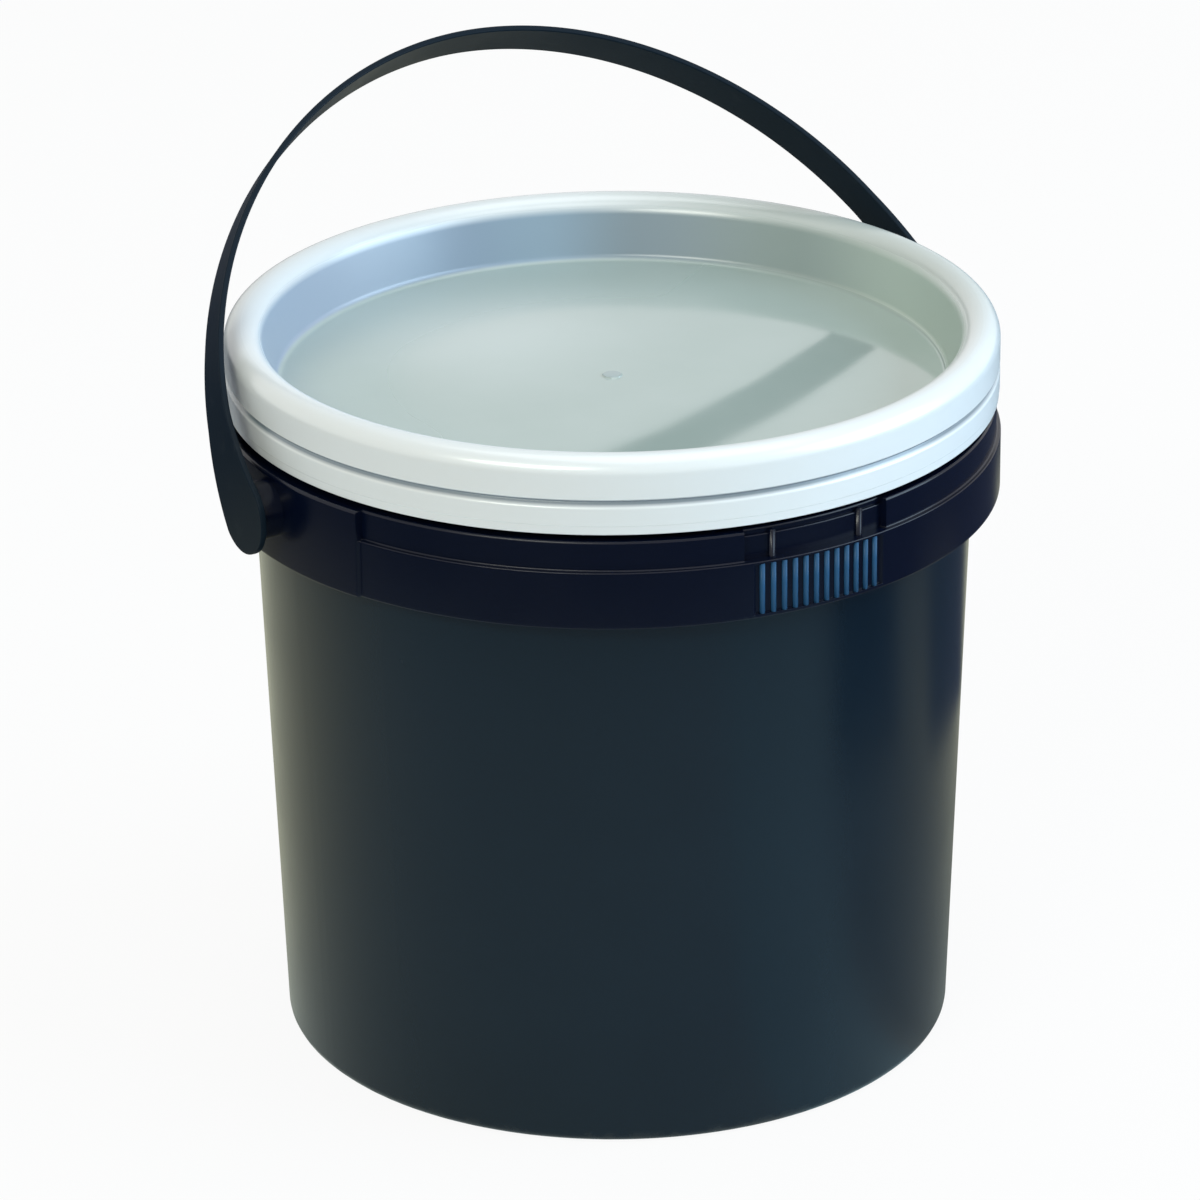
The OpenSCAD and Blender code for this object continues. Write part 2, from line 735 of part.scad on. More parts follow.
module rocker_arm() color(clear_grey) {
    eye_r = crank_pin_r + 2 * crank_throw + 0.4;
    difference() {
        union() {
            slab(arm_y, arm_y + arm_t) {
                translate([motor_x, motor_z]) circle(eye_r + 1.8, $fn = 48);
                translate([motor_x - 2, motor_z]) square([4, arm_z - motor_z]);
                translate([motor_x - 2, arm_z - 1.5]) square([arm_reach + 2, 3]);
            }
            bar(arm_x, arm_z, arm_post_r, arm_y, arm_y + arm_t + 1.5);
            // Deck under the diaphragm
            block([motor_x - 4, arm_y, arm_deck - 1.5], [motor_x + 4, diaphragm_y + 4, arm_deck]);
        }
        bar(motor_x, motor_z, eye_r, arm_y - 1, arm_y + arm_t + 1);
        bar(arm_x, arm_z, arm_pin_r + 0.06, arm_y - 1, arm_y + arm_t + 3);
    }
}

module arm_pin() color(steel)
    bar(arm_x, arm_z, arm_pin_r, arm_y - 0.6, split_y + pin_seat);

module diaphragm() color(rubber_black)
    translate([motor_x, diaphragm_y, 0]) rotate_extrude()
        polygon([[0, arm_deck], [3.5, arm_deck], [3.5, arm_deck + 2.5], [diaphragm_r - 3, diaphragm_z],
                 [diaphragm_r, diaphragm_z], [diaphragm_r, head_z], [diaphragm_r - 3.4, head_z],
                 [3, arm_deck + 3.8], [0, arm_deck + 3.8]]);

module pump_head() color(clear_grey)
    difference() {
        union() {
            translate([motor_x, diaphragm_y, head_z]) cylinder(r = head_r, h = head_h, $fn = 64);
            // Foot that carries the head on the case
            block([motor_x - head_foot_w / 2, diaphragm_y + head_r - 2, head_z],
                  [motor_x + head_foot_w / 2, case_back_y - case_t, head_z + 4]);
        }
        translate([motor_x, diaphragm_y, head_z - 1])
            cylinder(r = diaphragm_r - 3.6, h = chamber_h + 1, $fn = 48);
        for (x = [-4, 4])
            translate([motor_x + x, diaphragm_y, head_z]) cylinder(r = 1, h = head_h + 1, $fn = 24);
        translate([motor_x - head_r - 1, diaphragm_y, outlet_z]) rotate([0, 90, 0])
            cylinder(r = tube_bore, h = head_r - 2.5, $fn = 32);
    }

module valve_flaps() color(rubber_black)
    for (x = [-4, 4])
        translate([motor_x + x, diaphragm_y, head_z + 2.7]) cylinder(r = 2, h = 0.8, $fn = 32);

// ---- Air line ----

module outlet_barb() color(clear_grey)
    translate([0, diaphragm_y, outlet_z]) rotate([0, -90, 0])
        difference() {
            union() {
                translate([0, 0, -(motor_x - head_r)]) cylinder(r = tube_bore, h = motor_x - head_r - barb_x + 8);
                translate([0, 0, -barb_x]) cylinder(r = tube_r + 1.5, h = 1.2, $fn = 32);
            }
            translate([0, 0, -(motor_x - head_r) - 1])
                cylinder(r = tube_bore - 0.8, h = motor_x - head_r - barb_x + 10, $fn = 32);
        }

// The tube's path as a solid of radius r: from the barb round and down the wall,
// then round again and along the floor into the stone
module tube_path(r) {
    translate([barb_x - 1.4, 0, outlet_z]) rotate([0, -90, 0])
        cylinder(r = r, h = barb_x - 1.4 - tube_top_x, $fn = 32);
    translate([tube_top_x, 0, outlet_z - tube_bend]) rotate([90, 0, 0]) tube_elbow(r, 90);
    translate([tube_down_x, 0, tube_floor_z + tube_bend])
        cylinder(r = r, h = outlet_z - tube_floor_z - 2 * tube_bend, $fn = 32);
    translate([tube_top_x, 0, tube_floor_z + tube_bend]) rotate([90, 0, 0]) tube_elbow(r, 180);
    translate([tube_top_x, 0, tube_floor_z]) rotate([0, 90, 0]) cylinder(r = r, h = 10, $fn = 32);
}

module tube_elbow(r, start) {
    rotate([0, 0, start]) rotate_extrude(angle = 90) translate([tube_bend, 0]) circle(r, $fn = 32);
}

module air_tube() color(clear_grey) translate([0, diaphragm_y, 0])
    difference() {
        tube_path(tube_r);
        tube_path(tube_bore);
    }

module tube_clips() color(clear_grey)
    for (z = clip_zs)
        difference() {
            intersection() {
                union() {
                    translate([tube_down_x, diaphragm_y, z - clip_h / 2])
                        cylinder(r = tube_r + 1.5, h = clip_h, $fn = 32);
                    rotate([0, 0, tube_angle]) translate([tube_dist, 0, z]) rotate([0, 90, 0]) {
                        cylinder(r = tube_r * 0.8, h = rim_in - tube_dist, $fn = 32);
                        translate([0, 0, tube_r + 1]) cylinder(r = sucker_r, h = rim_in - tube_dist, $fn = 48);
                    }
                }
                // The inside of the wall
                rotate_extrude($fn = 180)
                    polygon([[0, floor_z], [r_in(floor_z), floor_z], [rim_in, body_h], [0, body_h]]);
            }
            translate([tube_down_x, diaphragm_y, z - clip_h]) cylinder(r = tube_r, h = 2 * clip_h, $fn = 32);
            // Mouth that snaps over the tube
            rotate([0, 0, tube_angle]) block([tube_dist - 10, -tube_r * 0.8, z - clip_h],
                                             [tube_dist, tube_r * 0.8, z + clip_h]);
        }

module air_stone() color(stone_blue)
    translate([tube_top_x + 4, diaphragm_y, tube_floor_z]) rotate([0, 90, 0]) {
        cylinder(r = tube_bore, h = 8, $fn = 32);
        translate([0, 0, 6]) cylinder(r1 = stone_r - 1, r2 = stone_r, h = 1, $fn = 48);
        translate([0, 0, 7]) cylinder(r = stone_r, h = stone_l - 2, $fn = 48);
        translate([0, 0, 5 + stone_l]) cylinder(r1 = stone_r, r2 = stone_r - 1, h = 1, $fn = 48);
    }

// ---- Bracket ----

module aerator_bracket() color(case_grey)
    difference() {
        union() {
            translate([0, 0, case_z - bracket_t - side_gap])
                block([-bracket_w / 2, bracket_front, 0],
                      [bracket_w / 2, bracket_back, case_h * 0.9]);
            // Shelf, and a lip clear of the door's path
            block([-bracket_w / 2, case_front_y, case_z - bracket_t], [bracket_w / 2, bracket_back, case_z]);
            block([-bracket_w / 2, case_front_y - bracket_t, case_z - bracket_t],
                  [bay_x - 2, case_front_y, case_z + 6]);
            // Stand-offs that keep the case off the screw heads
            for (z = [case_z, case_z + case_h * 0.9 - 5])
                block([-bracket_w / 2, case_back_y, z - bracket_t / 2],
                      [bracket_w / 2, bracket_front + eps, z + 2]);
        }
        for (x = [-1, 1])
            bar(x * bracket_span / 2, bracket_screw_z, bracket_screw_r + screw_gap,
                bracket_front - 1, bracket_back + 1);
    }

module bracket_screws() color(steel)
    for (x = [-1, 1]) {
        bar(x * bracket_span / 2, bracket_screw_z, bracket_screw_r, bracket_front,
            bracket_back + wall_bore_l - screw_gap);
        difference() {
            bar(x * bracket_span / 2, bracket_screw_z, bracket_screw_r * 1.8, bracket_front - 2, bracket_front);
            block([x * bracket_span / 2 - slot_w / 2, bracket_front - 3, bracket_screw_z - 2 * bracket_screw_r],
                  [x * bracket_span / 2 + slot_w / 2, bracket_front - slot_w, bracket_screw_z + 2 * bracket_screw_r]);
        }
    }

bucket();
lid();
handle();
aerator_bracket();
bracket_screws();
case_back();
case_front();
case_seal();
case_screws();
battery_door();
cell_left();
cell_right();
contact_bridge();
contact_leaves();
switch_body();
switch_slider();
motor();
crank();
rocker_arm();
arm_pin();
diaphragm();
pump_head();
valve_flaps();
outlet_barb();
air_tube();
tube_clips();
air_stone();
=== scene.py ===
import math

import bmesh
import bpy
from mathutils import Matrix, Vector


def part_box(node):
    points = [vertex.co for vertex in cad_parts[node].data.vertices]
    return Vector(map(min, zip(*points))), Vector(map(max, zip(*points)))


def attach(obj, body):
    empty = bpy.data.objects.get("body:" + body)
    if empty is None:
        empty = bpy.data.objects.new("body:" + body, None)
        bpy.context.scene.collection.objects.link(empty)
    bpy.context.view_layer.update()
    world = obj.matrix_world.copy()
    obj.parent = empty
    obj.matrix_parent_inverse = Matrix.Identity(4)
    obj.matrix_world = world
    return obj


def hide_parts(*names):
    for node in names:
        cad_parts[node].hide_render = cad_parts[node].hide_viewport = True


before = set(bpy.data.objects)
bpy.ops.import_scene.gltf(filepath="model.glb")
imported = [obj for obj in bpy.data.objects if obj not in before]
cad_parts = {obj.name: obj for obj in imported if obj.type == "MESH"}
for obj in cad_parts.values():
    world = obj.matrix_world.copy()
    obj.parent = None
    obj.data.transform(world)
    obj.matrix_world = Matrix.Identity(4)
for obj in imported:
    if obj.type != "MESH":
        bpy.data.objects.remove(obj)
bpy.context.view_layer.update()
mm = 0.001
print("frame loaded:", len(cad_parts), "nodes")


# where the photograph was taken from
view = {
    "azimuth": -31.0,       # degrees round the pail, 0 looks along +Y
    "elevation": 23.89,
    "distance": 1.949,
    "aimHeight": 0.098,
    "pan": -0.124,          # degrees off the aim, to the right and up
    "tilt": 0.833,
    "roll": -0.546,
    "lens": 196.2,
}


def makeCamera(v):
    az, el = math.radians(v["azimuth"]), math.radians(v["elevation"])
    back = Vector((math.sin(az) * math.cos(el), -math.cos(az) * math.cos(el), math.sin(el)))
    right = (-back).cross(Vector((0, 0, 1))).normalized()
    up = right.cross(-back)
    ahead = (-back + math.tan(math.radians(v["pan"])) * right
             + math.tan(math.radians(v["tilt"])) * up).normalized()
    roll = Matrix.Rotation(math.radians(v["roll"]), 3, "Z").to_quaternion()
    data = bpy.data.cameras.new("photoCamera")
    data.lens = v["lens"]
    data.sensor_width = 36
    data.clip_end = 20
    cam = bpy.data.objects.new("photoCamera", data)
    cam.location = Vector((0, 0, v["aimHeight"])) + back * v["distance"]
    cam.rotation_mode = "QUATERNION"
    cam.rotation_quaternion = ahead.to_track_quat("-Z", "Y") @ roll
    bpy.context.scene.collection.objects.link(cam)
    bpy.context.scene.camera = cam


makeCamera(view)
print("camera placed")


# helpers that build node trees
def addNode(tree, kind, inputs=None, **settings):
    made = tree.nodes.new(kind)
    for name, value in settings.items():
        setattr(made, name, value)
    for name, value in (inputs or {}).items():
        socket = made.inputs[name]
        if isinstance(value, bpy.types.NodeSocket):
            tree.links.new(value, socket)
        else:
            socket.default_value = value
    return made


def maths(tree, how, a, b=0.0):
    return addNode(tree, "ShaderNodeMath", {0: a, 1: b}, operation=how).outputs[0]


def newTree(name, sizes):
    # sizes: name -> socket kind
    tree = bpy.data.node_groups.new(name, "GeometryNodeTree")
    tree.interface.new_socket("Geometry", in_out="INPUT", socket_type="NodeSocketGeometry")
    for label, kind in sizes.items():
        tree.interface.new_socket(label, in_out="INPUT", socket_type="NodeSocket" + kind)
    tree.interface.new_socket("Finish", in_out="INPUT", socket_type="NodeSocketMaterial")
    tree.interface.new_socket("Geometry", in_out="OUTPUT", socket_type="NodeSocketGeometry")
    return tree, addNode(tree, "NodeGroupInput").outputs


def endTree(tree, geometry, finish):
    real = addNode(tree, "GeometryNodeRealizeInstances", {0: geometry}).outputs[0]
    smooth = addNode(tree, "GeometryNodeSetShadeSmooth", {0: real}).outputs[0]
    done = addNode(tree, "GeometryNodeSetMaterial", {"Geometry": smooth, "Material": finish})
    addNode(tree, "NodeGroupOutput", {0: done.outputs[0]})
    return tree


# helpers that build meshes
sameSpot = 1e-6         # points nearer than this are merged


def placed(name, mesh):
    obj = bpy.data.objects.new(name, mesh)
    bpy.context.scene.collection.objects.link(obj)
    return obj


def objectOf(name, verts, faces):
    mesh = bpy.data.meshes.new(name)
    mesh.from_pydata(verts, (), faces)
    return placed(name, mesh)


def flattened(obj, name=None):
    # the evaluated result as a plain mesh, with no modifier left
    name = name or obj.name
    graph = bpy.context.evaluated_depsgraph_get()
    mesh = bpy.data.meshes.new_from_object(obj.evaluated_get(graph), depsgraph=graph)
    bpy.data.objects.remove(obj)
    mesh.name = name
    return placed(name, mesh)


def grown(name, tree, finish, sizes, host=None):
    host = host or objectOf(name + "Host", [(0, 0, 0)], [])
    mod = host.modifiers.new("grow", "NODES")
    mod.node_group = tree
    for item in tree.interface.items_tree:
        if item.in_out == "INPUT" and item.name in sizes:
            mod[item.identifier] = sizes[item.name]
        if item.in_out == "INPUT" and item.name == "Finish":
            mod[item.identifier] = finish
    return flattened(host, name)


def outward(obj):
    bm = bmesh.new()
    bm.from_mesh(obj.data)
    bmesh.ops.remove_doubles(bm, verts=bm.verts, dist=sameSpot)
    bmesh.ops.recalc_face_normals(bm, faces=bm.faces)
    bm.to_mesh(obj.data)
    bm.free()
    return obj


def smoothed(obj, sharp=40):
    # edges that turn by more than sharp, in degrees, stay crisp
    obj.data.shade_smooth()
    obj.data.set_sharp_from_angle(angle=math.radians(sharp))
    mod = obj.modifiers.new("evenNormals", "WEIGHTED_NORMAL")
    mod.keep_sharp = True
    return flattened(obj)


def arcPoints(centre, radius, start, end, steps):
    angles = [math.radians(start + (end - start) * i / steps) for i in range(steps + 1)]
    return [(centre[0] + radius * math.cos(a), centre[1] + radius * math.sin(a)) for a in angles]


def roundedProfile(corners, steps=5):
    # corners: (radius, height, fillet); the first and the last keep their point
    most = 0.48             # the share of a side that one fillet may take
    out = [corners[0][:2]]
    for before, here, after in zip(corners, corners[1:], corners[2:]):
        p = Vector(here[:2])
        if here[2] == 0:
            out.append(tuple(p))
            continue
        a, b = Vector(before[:2]) - p, Vector(after[:2]) - p
        spread = a.angle(b, math.pi)
        reach = min(here[2] / max(math.tan(spread / 2), 1e-3), most * a.length, most * b.length)
        a, b = p + a.normalized() * reach, p + b.normalized() * reach
        weight = math.sin(spread / 2)
        for i in range(steps + 1):
            u = i / steps
            share = ((1 - u) ** 2, 2 * u * (1 - u) * weight, u * u)
            out.append(tuple((a * share[0] + p * share[1] + b * share[2]) / sum(share)))
    return out + [corners[-1][:2]]


def turnedTree():
    # turns the host's points, which lie in order in X and Z, round the Z axis
    tree, inputs = newTree("turnedPiece", {"Segments": "Int"})
    host = inputs["Geometry"]
    count = addNode(tree, "GeometryNodeAttributeDomainSize", {0: host}).outputs["Point Count"]
    rings = maths(tree, "ADD", inputs["Segments"], 1)
    grid = addNode(tree, "GeometryNodeMeshGrid", {"Vertices X": rings, "Vertices Y": count})
    index = addNode(tree, "GeometryNodeInputIndex").outputs[0]
    ring = maths(tree, "FLOOR", maths(tree, "DIVIDE", maths(tree, "ADD", index, 0.5), count))
    step = maths(tree, "SUBTRACT", index, maths(tree, "MULTIPLY", ring, count))
    angle = maths(tree, "MULTIPLY", maths(tree, "DIVIDE", ring, inputs["Segments"]), 2 * math.pi)
    place = addNode(tree, "GeometryNodeInputPosition").outputs[0]
    taken = addNode(tree, "GeometryNodeSampleIndex", {"Geometry": host, "Index": step},
                    data_type="FLOAT_VECTOR")
    tree.links.new(place, next(s for s in taken.inputs if s.name == "Value" and s.type == "VECTOR"))
    split = addNode(tree, "ShaderNodeSeparateXYZ", {0: taken.outputs[0]}).outputs
    to = addNode(tree, "ShaderNodeCombineXYZ", {
        0: maths(tree, "MULTIPLY", split[0], maths(tree, "COSINE", angle)),
        1: maths(tree, "MULTIPLY", split[0], maths(tree, "SINE", angle)),
        2: split[2]}).outputs[0]
    moved = addNode(tree, "GeometryNodeSetPosition", {"Geometry": grid.outputs["Mesh"], "Position": to})
    merged = addNode(tree, "GeometryNodeMergeByDistance", {
        "Geometry": moved.outputs[0], "Distance": sameSpot})
    return endTree(tree, merged.outputs[0], inputs["Finish"])


turned = turnedTree()


def turnedPiece(name, profile, finish, segments):
    host = objectOf(name + "Host", [(r, 0, z) for r, z in profile], [])
    return outward(grown(name, turned, finish, {"Segments": segments}, host))


def turnedAcross(name, profile, finish, segments, side, at):
    # the axis lies along X, and side is 1 or -1 for the way it points
    obj = turnedPiece(name, profile, finish, segments)
    obj.data.transform(Matrix.Translation(Vector(at)) @ Matrix.Rotation(side * math.pi / 2, 4, "Y"))
    return smoothed(obj)


def joined(name, objs):
    bm = bmesh.new()
    for o in objs:
        bm.from_mesh(o.data)
    mesh = bpy.data.meshes.new(name)
    bm.to_mesh(mesh)
    bm.free()
    mesh.materials.append(objs[0].data.materials[0])
    for o in objs:
        bpy.data.objects.remove(o)
    return placed(name, mesh)


# finishes: a noise is read over one of these spans about its middle
wideSpan = (0.2, 0.8)
midSpan = (0.3, 0.7)
tightSpan = (0.35, 0.65)


def newFinish(name):
    mat = bpy.data.materials.new(name)
    mat.use_nodes = True
    tree = mat.node_tree
    shader = tree.nodes["Principled BSDF"]
    coords = addNode(tree, "ShaderNodeTexCoord").outputs["Object"]
    return mat, tree, shader, coords


def noiseOf(tree, coords, scale, detail, stretch=(1, 1, 1)):
    spot = addNode(tree, "ShaderNodeMapping", {"Vector": coords, "Scale": stretch}).outputs[0]
    noise = addNode(tree, "ShaderNodeTexNoise", {"Vector": spot, "Scale": scale, "Detail": detail})
    return noise.outputs["Fac"]


def alongOf(tree, flat, way):
    # how far a point lies along a level direction
    node = addNode(tree, "ShaderNodeVectorMath", {0: flat, 1: (*way, 0)}, operation="DOT_PRODUCT")
    return node.outputs["Value"]


def reachOf(tree, vector):
    return addNode(tree, "ShaderNodeVectorMath", {0: vector}, operation="LENGTH").outputs["Value"]


def ranged(tree, value, low, high, outLow=0.0, outHigh=1.0, smooth=False):
    kind = "SMOOTHSTEP" if smooth else "LINEAR"
    return addNode(tree, "ShaderNodeMapRange", {"Value": value, "From Min": low, "From Max": high,
                                                "To Min": outLow, "To Max": outHigh},
                   interpolation_type=kind).outputs[0]


def tinted(tree, amount, a, b):
    mix = addNode(tree, "ShaderNodeMix", data_type="RGBA")
    tree.links.new(amount, mix.inputs["Factor"])
    for name, value in (("A", a), ("B", b)):
        socket = next(s for s in mix.inputs if s.name == name and s.type == "RGBA")
        if isinstance(value, bpy.types.NodeSocket):
            tree.links.new(value, socket)
        else:
            socket.default_value = (*value, 1)
    return next(s for s in mix.outputs if s.type == "RGBA")


def painted(tree, shader, base, rough):
    tree.links.new(base, shader.inputs["Base Color"])
    tree.links.new(rough, shader.inputs["Roughness"])


def bumped(tree, shader, layers):
    # layers: (height socket, depth in metres)
    normal = None
    for height, depth in layers:
        inputs = {"Height": height, "Distance": depth, "Strength": 1.0}
        if normal:
            inputs["Normal"] = normal
        normal = addNode(tree, "ShaderNodeBump", inputs).outputs[0]
    tree.links.new(normal, shader.inputs["Normal"])


pailLook = {
    "name": "pailPolypropylene",
    "black": (0.0022, 0.0100, 0.0190),
    "clouded": (0.0030, 0.0118, 0.0215),
    # painted shade: the collar is coloured darker than the wall of the same plastic
    "collar": (0.0013, 0.0034, 0.0130),
    "collarFrom": 0.166,    # height at which the collar turns blue black, a painted shade under the lid
    "collarBlend": 0.001,
    "cloud": 18,            # the scale of each pattern is per metre
    "scuff": (0.045, 0.052, 0.052),
    "scuffScale": 210,
    "scuffFrom": (0.48, 0.62),
    "scuffShare": 0.6,
    "scuffRough": 0.3,
    "footScuff": 0.004,     # height to which the foot is scuffed
    "gloss": 0.23,          # roughness of the moulded skin
    "glossSpread": 0.05,
    "peel": (1500, 0.00002),    # the mould's fine grain: scale and depth
    "wave": (16, 0.00016),      # the slow ripple in the wall
    "waveStretch": (1, 1, 0.35),
    "shine": 0.27,
}
# the grip ribs: the same plastic, with a painted blue sheen as their collar colour
ribLook = dict(
    pailLook, name="ribPolypropyleneSheen", collar=(0.018, 0.080, 0.175), gloss=0.36, shine=0.20)


def pailFinish(k):
    mat, tree, shader, coords = newFinish(k["name"])
    place = addNode(tree, "ShaderNodeSeparateXYZ", {0: coords}).outputs
    cloud = noiseOf(tree, coords, k["cloud"], 4)
    grain = noiseOf(tree, coords, k["peel"][0], 2)
    slow = noiseOf(tree, coords, k["wave"][0], 1, k["waveStretch"])
    footZone = ranged(tree, place[2], 0.0, k["footScuff"], 1, 0)
    marks = ranged(tree, noiseOf(tree, coords, k["scuffScale"], 5), *k["scuffFrom"])
    worn = maths(tree, "MULTIPLY", footZone, marks)
    base = tinted(tree, ranged(tree, cloud, *tightSpan), k["black"], k["clouded"])
    # the collar's colour above this height is painted light: painted shade on the pail, a painted blue
    # sheen on the ribs
    collar = ranged(tree, place[2], k["collarFrom"], k["collarFrom"] + k["collarBlend"])
    base = tinted(tree, collar, base, k["collar"])
    base = tinted(tree, maths(tree, "MULTIPLY", worn, k["scuffShare"]), base, k["scuff"])
    low, high = k["gloss"] - k["glossSpread"], k["gloss"] + k["glossSpread"]
    rough = ranged(tree, cloud, *wideSpan, low, high, smooth=True)
    rough = maths(tree, "ADD", rough, maths(tree, "MULTIPLY", worn, k["scuffRough"]))
    painted(tree, shader, base, rough)
    shader.inputs["Specular IOR Level"].default_value = k["shine"]
    bumped(tree, shader, [(slow, k["wave"][1]), (grain, k["peel"][1])])
    return mat


lidLook = {
    "white": (0.83, 0.86, 0.87),
    "panel": (0.42, 0.51, 0.48),    # painted shade: the thin panel over the dark inside
    "panelPale": (0.55, 0.63, 0.61),    # where more light comes back through it
    "paleAt": (-0.012, 0.046),      # the middle of that pale area, and how far it reaches
    "paleReach": 0.062,
    "cloud": 26,
    "cloudShare": 0.08,
    "wallShadeSide": (0.857, -0.515),    # painted light and shade: the steep wall of the recess goes from a cool painted reflection to grey painted shade along this
    "wallPaintedLight": [                  # how far along it, and the colour there
        (-0.090, (0.37, 0.43, 0.53)),
        (-0.050, (0.22, 0.30, 0.40)),
        (-0.020, (0.27, 0.38, 0.48)),
        (0.010, (0.21, 0.28, 0.33)),
        (0.055, (0.29, 0.36, 0.34)),
        (0.090, (0.46, 0.55, 0.48)),
    ],
    "rimPaintedShade": (0.58, 0.63, 0.605),  # painted shade on one quarter of the rim, where less light reaches it
    "rimShadeSide": (0.983, 0.180),
    "dullFrom": (0.055, 0.110),
    "creaseShade": (0.22, 0.27, 0.31),    # painted shade in the crease round the skirt
    "creaseShadeReach": 0.0012,           # how far below and above its middle
    "creaseShadeFade": 1.6,               # how much further it fades out
    "creaseShadeIn": (0.0009, 0.0002),    # how far inside the skirt's face it is full, and gone
    "wallFoot": 0.2006,             # heights at which the panel turns to wall, and the wall to rim
    "wallHead": 0.2150,
    "wallBlend": 0.0016,
    "footBlend": 0.0005,
    "skirtIn": 0.1040,
    "creaseDrop": 0.0128,           # below the crown's top
    "gloss": 0.07,
    "softGloss": 0.30,              # the panel towards its far edge
    "softFrom": (0.050, 0.070),
    "softSide": (-0.5, 0.85),
    "softBlend": (-0.02, 0.03),
    "wallGloss": 0.34,
    "rimGloss": 0.26,
    "flow": 34,                     # slow change of gloss from the moulding
    "flowGloss": 0.01,
    "wave": (22, 0.00010),
    "peel": (900, 0.000006),
    "shine": 1.0,
    "ior": 1.56,
}


def lidFinish(k):
    mat, tree, shader, coords = newFinish("lidPolypropylene")
    place = addNode(tree, "ShaderNodeSeparateXYZ", {0: coords}).outputs
    flat = addNode(tree, "ShaderNodeCombineXYZ", {0: place[0], 1: place[1]}).outputs[0]
    out = reachOf(tree, flat)
    blend = k["wallBlend"]
    foot = k["footBlend"]
    wall = ranged(tree, place[2], k["wallFoot"] - foot, k["wallFoot"] + foot, smooth=True)
    head = ranged(tree, place[2], k["wallHead"] - blend, k["wallHead"] + blend, smooth=True)
    skirt = ranged(tree, out, k["skirtIn"], k["skirtIn"] + blend, smooth=True)
    rim = maths(tree, "MAXIMUM", head, skirt)
    cloud = noiseOf(tree, coords, k["cloud"], 4)
    flow = noiseOf(tree, coords, k["flow"], 2)
    # painted shade on the panel, with painted light where more light comes back through it
    off = addNode(tree, "ShaderNodeVectorMath", {0: flat, 1: (*k["paleAt"], 0)}, operation="DISTANCE")
    pale = ranged(tree, off.outputs["Value"], 0, k["paleReach"], 1, 0, smooth=True)
    base = tinted(tree, pale, k["panel"], k["panelPale"])
    base = tinted(tree, ranged(tree, cloud, *midSpan, 0, k["cloudShare"]), base, k["white"])
    # painted light and shade round the recess wall, cool on one side and grey on the other
    side = alongOf(tree, flat, k["wallShadeSide"])
    tone = k["wallPaintedLight"][0][1]
    for (start, _), (end, colour) in zip(k["wallPaintedLight"], k["wallPaintedLight"][1:]):
        tone = tinted(tree, ranged(tree, side, start, end, smooth=True), tone, colour)
    base = tinted(tree, wall, base, tone)
    # painted shade on one quarter of the rim
    dull = ranged(tree, alongOf(tree, flat, k["rimShadeSide"]), *k["dullFrom"], smooth=True)
    base = tinted(tree, rim, base, tinted(tree, dull, k["white"], k["rimPaintedShade"]))
    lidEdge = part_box("lid")[1]
    # painted shade in the crease round the skirt
    near = maths(tree, "ABSOLUTE", maths(tree, "SUBTRACT", place[2], lidEdge.z - k["creaseDrop"]))
    full, gone = k["creaseShadeIn"]
    deep = ranged(tree, out, lidEdge.x - full, lidEdge.x - gone, 1, 0)
    shadedBand = ranged(tree, near, k["creaseShadeReach"], k["creaseShadeReach"] * k["creaseShadeFade"], 1, 0)
    crease = maths(tree, "MULTIPLY", maths(tree, "MULTIPLY", deep, shadedBand), skirt)
    base = tinted(tree, crease, base, k["creaseShade"])
    far = ranged(tree, alongOf(tree, flat, k["softSide"]), *k["softBlend"], smooth=True)
    soft = maths(tree, "MULTIPLY", far, ranged(tree, out, *k["softFrom"], smooth=True))
    rough = ranged(tree, soft, 0, 1, k["gloss"], k["softGloss"])
    rough = ranged(tree, wall, 0, 1, rough, k["wallGloss"])
    rough = ranged(tree, rim, 0, 1, rough, k["rimGloss"])
    change = ranged(tree, flow, *wideSpan, -k["flowGloss"], k["flowGloss"], smooth=True)
    painted(tree, shader, base, maths(tree, "ADD", rough, change))
    shader.inputs["Specular IOR Level"].default_value = k["shine"]
    shader.inputs["IOR"].default_value = k["ior"]
    (waveScale, waveDeep), (peelScale, peelDeep) = k["wave"], k["peel"]
    bumped(tree, shader, [(noiseOf(tree, coords, waveScale, 1), waveDeep),
                          (noiseOf(tree, coords, peelScale, 2), peelDeep)])
    return mat


strapLook = {
    "black": (0.0035, 0.0100, 0.0180),
    "worn": (0.018, 0.026, 0.034),
    "rub": 180,                     # long marks of wear: scale, stretch, where they start, how much
    "rubStretch": (0.15, 1, 1),
    "rubFrom": (0.60, 0.72),
    "rubShare": 0.22,
    "cloud": 40,
    "gloss": (0.35, 0.46),
    "grain": (1300, 0.00002),
    "shine": 0.09,
}


def strapFinish(k):
    mat, tree, shader, coords = newFinish("strapPolypropylene")
    cloud = noiseOf(tree, coords, k["cloud"], 4)
    rub = ranged(tree, noiseOf(tree, coords, k["rub"], 3, k["rubStretch"]), *k["rubFrom"])
    base = tinted(tree, maths(tree, "MULTIPLY", rub, k["rubShare"]), k["black"], k["worn"])
    painted(tree, shader, base, ranged(tree, cloud, *midSpan, *k["gloss"]))
    shader.inputs["Specular IOR Level"].default_value = k["shine"]
    scale, deep = k["grain"]
    bumped(tree, shader, [(noiseOf(tree, coords, scale, 2), deep)])
    return mat


pailBlack = pailFinish(pailLook)
ribPaintedSheen = pailFinish(ribLook)
lidWhite = lidFinish(lidLook)
strapBlack = strapFinish(strapLook)
print("outside finishes made")


